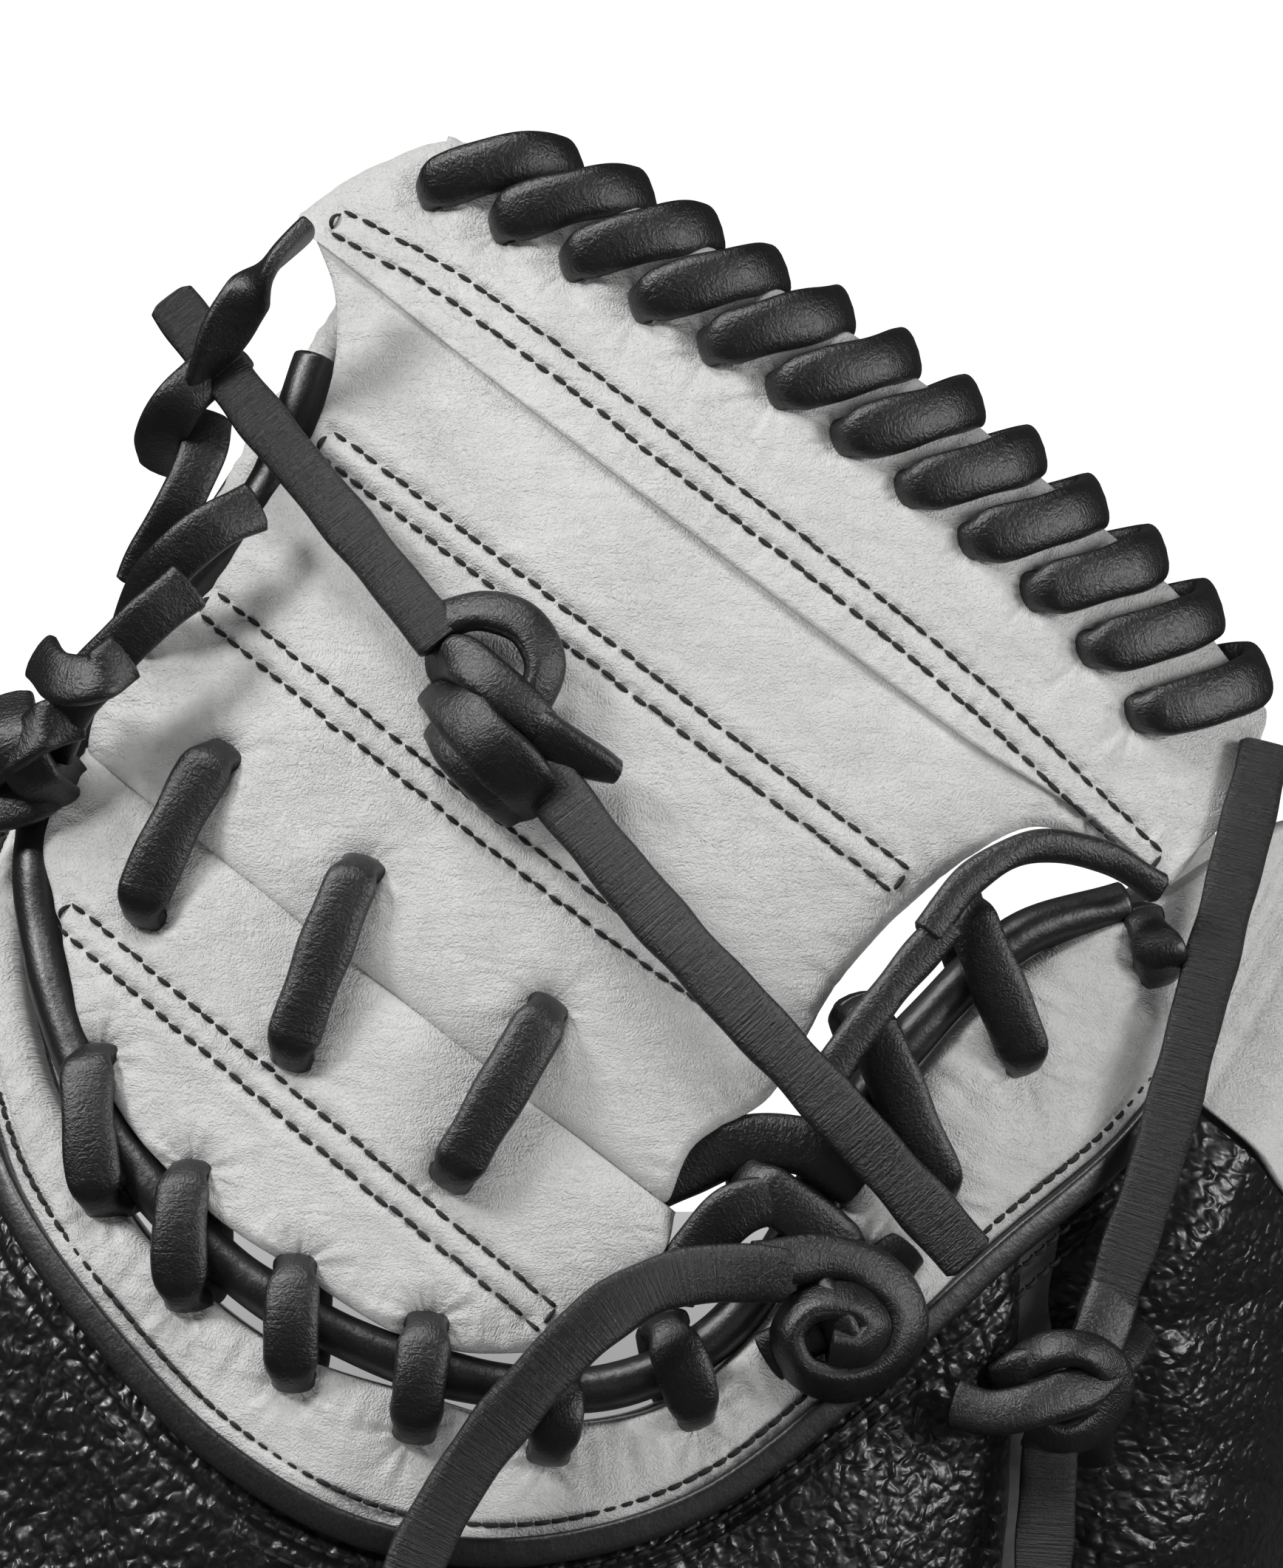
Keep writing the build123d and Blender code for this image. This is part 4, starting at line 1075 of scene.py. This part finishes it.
def hand_loop(name, along, height_angle, length=15.0, radius=8.0):
    """A leather loop inside the glove for the thumb or the little finger."""
    foot = body_point(along, height_angle, LEATHER + radius + 2.5)
    around = np.linspace(0, 2 * math.pi, 70, endpoint=True)[:-1]
    ring = np.stack([radius * np.cos(around), radius * np.sin(around), 0 * around], -1)
    turn = math.radians(height_angle)
    turned = np.stack([ring[:, 0] * math.cos(turn) + ring[:, 2] * math.sin(turn), ring[:, 1],
                       -ring[:, 0] * math.sin(turn) + ring[:, 2] * math.cos(turn)], -1) + foot
    closed = np.concatenate([turned, turned[:2]])
    return ribbon(name, closed, [math.sin(turn), 0, math.cos(turn)], LINING, width=length, thick=1.8, seed=95)


thumb_loop = hand_loop("thumb_hand_loop", 54, 9.5)
finger_loop = hand_loop("little_finger_hand_loop", -38, 9.5)


# ---- laces through the web ----
def web_loop(hole, over, seed):
    """One lace from its hole in the web, round an edge and back to the hole's other side."""
    hole, over = np.asarray(hole, float), np.asarray(over, float)
    run = over - hole
    size = np.linalg.norm(run)
    step = run / size
    low = WEB_THICKNESS + 2.9
    past = over + step * 2.3
    spots = [(hole + step * 0.3, 0.8), (hole + step * 0.9, -1.2), (hole + step * 3.0, -3.1),
             (hole + run * 0.5, -4.1), (over - step * 2.4, -3.3), (over + step * 0.8, -1.0), (past, 2.2),
             (past, WEB_THICKNESS - 1.6), (over - step * 1.4, low - 0.8), (hole + run * 0.6, low + 0.2),
             (hole + step * 3.2, low), (hole + step * 1.0, low - 1.3),
             (hole + step * 0.3, WEB_THICKNESS - 0.8)]
    points = [web_point(p[0], p[1], d) for p, d in spots]
    path = smooth_line(points, 130)
    return ribbon("loop", path, [step[1], 0, -step[0]], LACE, width=7.8, thick=2.7, seed=seed, ruffle=0.3,
                  dome=0.55, pinch=[points[1], points[-2]], keep=0.72)


def bridge_loop(start, end, seed, end_on_web, width=7.6, lift=2.1):
    """A lace from a hole in one piece to a hole in the next, and back on the palm side."""
    start, end = np.asarray(start, float), np.asarray(end, float)
    run = end - start
    size = np.linalg.norm(run)
    step = run / size
    front = WEB_THICKNESS
    plan = [(0.2, 2.0), (0.8, -0.2), (2.8, -lift), (size / 2, -lift - 0.9), (size - 2.8, -lift),
            (size - 0.8, -0.2), (size - 0.2, 2.0), (size - 0.4, front - 1.5), (size - 2.8, front + lift),
            (size / 2, front + lift + 0.6), (2.8, front + lift), (0.4, front - 1.5)]
    points = []
    for reach, depth in plan:
        spot = start + step * reach
        web_skin = web_point(spot[0], spot[1], depth)
        body_skin = off_body(spot[0], spot[1], -depth)
        share = 0.0 if end_on_web else float(ease(reach / size))
        points.append(web_skin * (1 - share) + body_skin * share)
    points.append(points[0])
    path = smooth_line(points, 130)
    holes = [points[1], points[5], points[7], points[11]]
    return ribbon("loop", path, [step[1], 0, -step[0]], LACE, width=width, thick=2.7, seed=seed, ruffle=0.3,
                  dome=0.5, pinch=holes, keep=0.74)


rim_lace = join("rim_lacing", [web_loop(a, b, 200 + k) for k, (a, b) in enumerate(rim_holes())])
joiner_lace = join("joiner_lacing",
                   [bridge_loop(a, b, 230 + k, True) for k, (a, b) in enumerate(JOINER_LOOPS)])
perimeter_lace = join("perimeter_lacing",
                      [bridge_loop(a, b, 250 + k, False) for k, (a, b) in enumerate(PERIMETER_LOOPS)])


def skin_run(spots, on_web, count=90):
    """A path given as (x, z, rise off the back surface)."""
    points = [in_line(off_web if on_web else off_body, x, z, rise) for x, z, rise in spots]
    return smooth_line(points, count)


def flat_lace(name, spots, seed, on_web=True, width=7.6, thick=2.7, tilt=0.0, count=90, taper=0.0):
    """A short run of lace on the leather; `tilt` turns its flat side away from the leather."""
    path = skin_run(spots, on_web, count)
    tangent = np.gradient(path, axis=0)
    side = unit(np.cross(tangent, np.broadcast_to(TO_THE_BACK, path.shape)))
    tilts = np.interp(np.linspace(0, 1, count), np.linspace(0, 1, np.size(tilt)), np.atleast_1d(tilt))
    turn = np.radians(tilts)
    hint = side * np.cos(turn)[:, None] + np.array(TO_THE_BACK) * np.sin(turn)[:, None]
    return ribbon(name, path, hint, LACE, width=width, thick=thick, seed=seed, ruffle=0.4, dome=0.4,
                  taper=taper)


def centre_knot():
    """A flat lace tied in front of the web, with a short end that points down and right."""
    return join("centre_knot_lace", [
        flat_lace("ring", [(25.5, 238.6, 2.0), (28, 241.2, 4.6), (33, 242.3, 5.6), (38.5, 240.3, 5.8),
                           (41.2, 235, 5.4), (39.4, 229.6, 5.0), (35.5, 226, 4.4), (31, 224.6, 2.4)],
                  301, width=6.0, thick=3.0, tilt=32, count=140),
        flat_lace("cross", [(26, 235, 1.0), (29.5, 235.6, 5.4), (34, 232.5, 7.6), (39.2, 227.6, 6.4),
                            (42.5, 223, 1.5)],
                  302, width=6.6, thick=2.8, tilt=14),
        flat_lace("wrap", [(27.4, 232, 0.6), (29.4, 228.6, 6.0), (33.6, 223.6, 8.4), (38.2, 218.6, 6.2),
                           (40.6, 215.4, 1.2)],
                  303, width=8.6, thick=2.8, tilt=-12),
        flat_lace("wrap_low", [(26.8, 226.5, 0.8), (29.6, 222.4, 5.2), (34, 217.6, 5.6), (38, 214.6, 1.4)],
                  305, width=6.4, thick=2.6, tilt=-20),
        flat_lace("stub", [(38, 226.6, 4.0), (42, 224.2, 5.2), (47, 221.8, 4.8), (51.4, 219.8, 3.6)],
                  304, width=8.0, taper=0.62, tilt=-25),
    ])


def crotch_knot():
    """The lace curled on itself beside the crotch, with its edge to the front."""
    curl = [(70, 152, 4.6), (75, 152.6, 4.4), (80, 153, 4.2), (85.6, 151.6, 4.4), (90, 147.8, 4.8),
            (91.2, 142.8, 5.0), (88.4, 137.8, 4.6), (82.4, 135.4, 4.2), (76.6, 137.6, 4.2),
            (74.8, 142.6, 4.6), (78, 146.6, 5.4), (83.6, 147, 6.2), (86.8, 143.6, 6.6),
            (84.6, 140.2, 6.6), (80.4, 140.4, 6.2)]
    return join("crotch_knot_lace", [
        flat_lace("curl", curl, 311, on_web=False, width=6.6, thick=3.0, tilt=(0, 20, 52, 60, 55, 40),
                  count=260),
        flat_lace("under", [(72, 139, 0.4), (76, 141.6, 2.6), (82, 145.4, 3.4), (88, 150.6, 2.6),
                            (91, 154, 0.4)],
                  312, on_web=False, width=7.4, tilt=8),
        flat_lace("core", [(78, 150, 2.4), (80.6, 146.4, 5.6), (82.4, 142.6, 6.4), (83.4, 138.6, 4.4)],
                  313, on_web=False, width=5.4, tilt=-25),
    ])


def corner_lacing():
    """The laces behind the web's thumb edge and in the corner below it."""
    return join("corner_lacing", [
        flat_lace("side_low", [(79, 176, 6.0), (84.5, 184, 6.2), (90.5, 191.6, 6.4), (97, 199, 6.4)],
                  316, width=5.2),
        flat_lace("side_high", [(94, 197.5, 6.6), (100.5, 205.4, 6.4), (109, 209.6, 6.2), (119, 208.2, 6.0),
                                (127, 203.6, 5.6)], 317, width=4.6),
        flat_lace("corner", [(56, 163, -4.5), (63, 166.6, -3.2), (70.5, 168.6, -1.2), (79, 167.6, 1.6),
                             (85, 163, 1.2)],
                  314, on_web=False, width=8.4),
        flat_lace("corner_low", [(58.6, 147.6, -3.0), (62.6, 154, -0.6), (67.6, 159.4, 1.8),
                                 (73.6, 160.6, 2.4), (79, 157, 1.4)],
                  315, on_web=False, width=7.6),
    ])


def thumb_knot():
    """The knot on the thumb panel, with its short pointed end to the left."""
    return join("thumb_knot_lace", [
        flat_lace("down", [(120.6, 148, 6.0), (118.4, 141.6, 7.6), (115.4, 135.4, 7.8), (112.4, 130, 6.6),
                           (111.4, 125.4, 5.6)],
                  321, on_web=False, width=8.0, tilt=8),
        flat_lace("band", [(97.6, 132.6, 4.6), (103, 131.2, 7.2), (109, 132.2, 9.8), (115.6, 134.6, 10.8),
                           (121, 138.4, 8.6), (123.6, 142, 4.6)],
                  322, on_web=False, width=6.6, tilt=16, count=130),
        flat_lace("loop", [(106.6, 136.2, 3.4), (111, 139.6, 8.0), (116.6, 139.6, 10.8), (120.4, 135.2, 10.6),
                           (118, 129.6, 9.2), (113, 127.2, 7.6), (108.2, 129, 4.6)],
                  323, on_web=False, width=6.0, tilt=40, count=150),
        flat_lace("back", [(104.6, 134.4, 2.4), (108.6, 136.6, 6.0), (113.4, 133.4, 8.8), (116.6, 128, 7.0),
                           (117, 124, 3.2)],
                  324, on_web=False, width=7.0, tilt=-10),
    ])


def free(name, points, seed, width=7.2, hint=(0.3, 0.2, 1.0), count=90):
    """A run of lace that stands clear of the leather; `hint` is the way its width points."""
    path = smooth_line(points, count)
    return ribbon(name, path, hint, LACE, width=width, thick=2.3, seed=seed, ruffle=0.3)


def side_laces():
    """The loops and knots where the web meets the finger side."""
    return join("finger_side_lacing", [
        free("s1", [(8, -27, 296), (3, -29, 291), (-2, -27, 284), (-6, -23, 277), (-9, -18, 272),
                    (-12, -12, 268)], 331, hint=(0.6, -0.3, 0.7)),
        free("s2", [(-3, -14, 279), (-6, -21, 276), (-10, -23, 272), (-13, -19, 267), (-13, -12, 263)], 332,
             hint=(0.9, 0.1, -0.5)),
        free("s3", [(-6, -16, 270), (-7, -20, 265), (-10, -22, 258), (-14, -21, 251), (-16, -20, 246)], 333,
             width=6.6, hint=(1.0, 0.2, -0.3)),
        free("s4", [(1, -31, 257), (-5, -34, 254), (-11, -33, 249), (-15, -28, 244), (-17, -22, 239)], 334,
             hint=(0.5, 0.0, -1.0)),
        free("s5", [(-8, -37, 246), (-14, -38, 241), (-20, -36, 235), (-25, -31, 229), (-28, -25, 223)], 335,
             hint=(0.6, 0.1, -0.9)),
        free("s6", [(-17, -39, 236), (-21, -41, 233), (-26, -38, 233), (-29, -32, 236)], 336,
             hint=(0.2, 0.3, 1.0)),
    ])


def tip_knot():
    """The knot beside the finger side's tip."""
    runs = [("f1", [(-24, -30, 228), (-29, -31, 226), (-34, -27, 222), (-37, -19, 219)], (0.3, 0.2, 1.0)),
            ("f2", [(-27, -24, 216), (-30, -29, 219), (-33, -29, 225), (-34, -23, 230)], (1.0, -0.2, 0.2)),
            ("f3", [(-25, -22, 222), (-30, -25, 217), (-36, -23, 215), (-41, -18, 213)], (0.1, 0.2, 1.0))]
    return join("finger_tip_knot_lace", [free(name, points, 341 + k, 7.4, hint, 80)
                                         for k, (name, points, hint) in enumerate(runs)])


knots = {"centre_knot": centre_knot(), "crotch_knot": crotch_knot(), "thumb_knot": thumb_knot(),
         "finger_side_knot": side_laces(), "finger_tip_knot": tip_knot()}


# ---- stitching ----
WEB_STITCH_SHIFT, SEAM_STITCH_SHIFT = 3.7, 3.1   # each stitch reads another stretch of the texture


def rings_round(line, side, tangent, around, radius):
    """Rings of points round a short length of thread."""
    up = np.cross(side, tangent)
    ring = side[:, None] * np.cos(around)[None, :, None] + up[:, None] * np.sin(around)[None, :, None]
    return line[:, None] + ring * radius


def thread_mesh(name, lengths):
    """One piece from many short threads, each given as its rings of points and its texture's run."""
    vertices, faces, uv = [], [], []
    for grid, run in lengths:
        rows, columns = grid.shape[:2]
        around = np.linspace(0, 2 * math.pi, columns, endpoint=False)
        faces += quads(rows, columns, offset=len(vertices) * rows * columns, close_columns=True)
        vertices.append(grid.reshape(-1, 3))
        thread_uv = np.stack(np.broadcast_arrays(run[:, None], around[None] * THREAD_GRAIN), -1)
        uv.append(thread_uv.reshape(-1, 2) / UV_UNIT)
    return make_object(name, np.concatenate(vertices), faces, np.concatenate(uv), THREAD)


def stitches(name, rows, surface):
    """Short lengths of thread along each row, each dipping into the leather at both ends."""
    lengths = []
    around = np.linspace(0, 2 * math.pi, 8, endpoint=False)
    share = np.linspace(-1, 1, 7)
    draw = np.random.default_rng(5)
    for row in rows:
        length = float(np.sum(np.linalg.norm(np.diff(row, axis=0), axis=1)))
        count = int(length / STITCH_PITCH)
        for k in range(count):
            middle = (k + 0.5 + 0.06 * draw.standard_normal()) / count
            spots = resample(row, middle + share * 0.475 * STITCH_PITCH / length)
            spots = spots + 0.10 * draw.standard_normal(2)
            line = surface(spots[:, 0], spots[:, 1], -0.28 + 0.62 * share**2 * np.abs(share))
            tangent = unit(np.gradient(line, axis=0))
            radius = THREAD_RADIUS * (1 - 0.25 * share**4)
            side = np.cross(tangent, TO_THE_BACK)
            grid = rings_round(line, side, tangent, around, radius[:, None, None])
            lengths.append((grid, share * STITCH_PITCH / 2 + WEB_STITCH_SHIFT * k))
    return thread_mesh(name, lengths)


def web_thread_surface(outlines, seed, raise_by=0.0):
    """A function for the place of thread on one piece of the web, `lift` below its leather."""
    def surface(x, z, lift):
        relief = web_relief(x, z, outlines, seed)
        return web_point(x, z, relief - raise_by + lift)
    return surface


thread_band = stitches("rim_band_stitching", with_ends(STITCH_ROWS[0:2]),
                       web_thread_surface(BAND_OUTLINES, BAND_SEED, BAND_RISE))
thread_upper = stitches("web_stitching", with_ends(STITCH_ROWS[2:4]) + with_ends(STITCH_ROWS[4:6]),
                        web_thread_surface(UPPER_OUTLINES, UPPER_SEED))
thread_moon = stitches("half_moon_stitching", with_ends(STITCH_ROWS[6:8]),
                       web_thread_surface(MOON_OUTLINES, MOON_SEED))


def body_thread():
    """Small stitches beside the seam binding: one row towards the web and two away from it."""
    q = np.linspace(0.02, 0.93, 2400)
    rows = []
    for shift in (-0.028, 0.030, 0.052):
        along, height = u_place(q, seam_fraction(q) + shift)
        rows.append(np.stack([along, height], -1))
    lengths = []
    around = np.linspace(0, 2 * math.pi, 6, endpoint=False)
    share = np.linspace(-1, 1, 5)
    for row in rows:
        line = body_point(row[:, 0], row[:, 1], 0)
        run = edge_run(line)
        count = int(run[-1] / SEAM_STITCH_PITCH)
        for k in range(count):
            at = (k + 0.5 + share * 0.4) / count * run[-1]
            where = np.array([np.interp(at, run, row[:, c]) for c in (0, 1)]).T
            spots = body_point(where[:, 0], where[:, 1], -0.1 + 0.5 * np.abs(share) ** 3)
            tangent = unit(np.gradient(spots, axis=0))
            side = unit(np.cross(tangent, TO_THE_BACK) + 1e-6)
            grid = rings_round(spots, side, tangent, around, THREAD_RADIUS)
            lengths.append((grid, share + SEAM_STITCH_SHIFT * k))
    return thread_mesh("seam_stitching", lengths)


seam_thread = body_thread()


soft_pieces = [
    (web_upper, "grey_leather", ["web_upper_back", "web_upper_core", "web_upper_front"]),
    (web_moon, "grey_leather", ["half_moon_back", "half_moon_core", "half_moon_front"]),
    (web_band, "grey_leather", ["web_rim_band"]),
    (gusset_skin, "grey_leather", ["web_gusset"]),
    (back_skin, "pebbled_leather", ["finger_back_shell", "thumb_back_shell"]),
    (palm_skin, "grey_leather", ["palm_shell", "finger_pad", "heel_pad", "thumb_pad"]),
    (seam_binding, "binding", ["gusset_binding"]),
    (web_roll, "binding", ["web_perimeter_roll"]),
    (edge_roll, "binding", ["palm_edge_roll"]),
    (edge_lacing, "lace_leather", []),
    (strap, "pebbled_leather", ["wrist_strap"]),
    (wool_pad, "wool", ["wrist_wool_pad"]),
    (strap_patch, "hook_and_loop", ["strap_loop_patch"]),
    (hand_lining, "lining", ["palm_lining", "finger_stalls", "thumb_stall"]),
    (rim_lace, "lace_leather", ["web_rim_lace"]),
    (joiner_lace, "lace_leather", ["web_joiner_lace"]),
    (perimeter_lace, "lace_leather", ["web_perimeter_lace"]),
    (knots["crotch_knot"], "lace_leather", ["crotch_knot"]),
    (corner_lacing(), "lace_leather", []),
    (thread_band, "lace_leather", []),
    (thread_upper, "lace_leather", []),
    (thread_moon, "lace_leather", []),
    (seam_thread, "lace_leather", []),
]
for piece, slot, nodes in soft_pieces:
    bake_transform(piece)
    if nodes:
        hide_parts(*nodes)

riding_pieces = [
    (tip_skin, "grey_leather", ["thumb_tip_panel"], "thumb_side"),
    (strap_tab, "pebbled_leather", ["strap_tab"], "strap_tab"),
    (thumb_loop, "lining", ["thumb_loop"], "thumb_side"),
    (finger_loop, "lining", ["little_finger_loop"], "finger_side"),
    (knots["centre_knot"], "lace_leather", ["centre_knot"], "finger_side"),
    (knots["thumb_knot"], "lace_leather", ["thumb_knot"], "thumb_side"),
    (knots["finger_side_knot"], "lace_leather", ["finger_side_knot"], "finger_side"),
    (knots["finger_tip_knot"], "lace_leather", ["finger_tip_knot"], "finger_side"),
]
for piece, slot, nodes, body in riding_pieces:
    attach(piece, body)
    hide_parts(*nodes)


# ---- stage and light ----
def glow(name, strength):
    """A softly uneven white card that shines, used as the backdrop."""
    n = Nodes(name)
    tone = n.ramp(n.noise(0.4, 2.0), [(0.3, (0.99, 0.99, 0.99)), (0.7, (1.0, 1.0, 1.0))])
    return n.finish(Base_Color=(0, 0, 0, 1), Emission_Color=tone, Emission_Strength=strength, Roughness=1.0)


def plane(name, corners, material):
    mesh = bpy.data.meshes.new(name)
    mesh.from_pydata(corners, [], [(0, 1, 2, 3)])
    mesh.materials.append(material)
    obj = bpy.data.objects.new(name, mesh)
    bpy.context.scene.collection.objects.link(obj)
    obj.visible_glossy = False


def area(name, location, size, power):
    data = bpy.data.lights.new(name, "AREA")
    data.shape = "DISK"
    data.size = size
    data.energy = power
    lamp = bpy.data.objects.new(name, data)
    lamp.location = location
    aim = Vector((0.05, -0.04, 0.19)) - Vector(location)
    lamp.rotation_euler = aim.to_track_quat("-Z", "Y").to_euler()
    bpy.context.scene.collection.objects.link(lamp)


def stage_and_light():
    plane("floor", [(-4, -4, 0), (4, -4, 0), (4, 4, 0), (-4, 4, 0)], stage_white())
    plane("backdrop", [(-4, 4, -0.2), (4, 4, -0.2), (4, 4, 4), (-4, 4, 4)], glow("backdrop_glow", 1.1))
    area("key", (-1.05, -0.72, 1.26), 0.40, 19.0)
    area("soft_top", (-0.12, -0.50, 1.25), 0.42, 6.6)
    area("fill", (0.9, -1.2, 0.35), 0.8, 0.8)
    area("edge", (0.80, -0.35, 0.35), 0.3, 3.4)
    world = bpy.data.worlds.new("studio")
    world.use_nodes = True
    world.node_tree.nodes["Background"].inputs["Color"].default_value = (1, 1, 1, 1)
    world.node_tree.nodes["Background"].inputs["Strength"].default_value = 0.06
    bpy.context.scene.world = world
    bpy.context.scene.view_settings.view_transform = "Standard"
    bpy.context.scene.view_settings.look = "None"


stage_and_light()
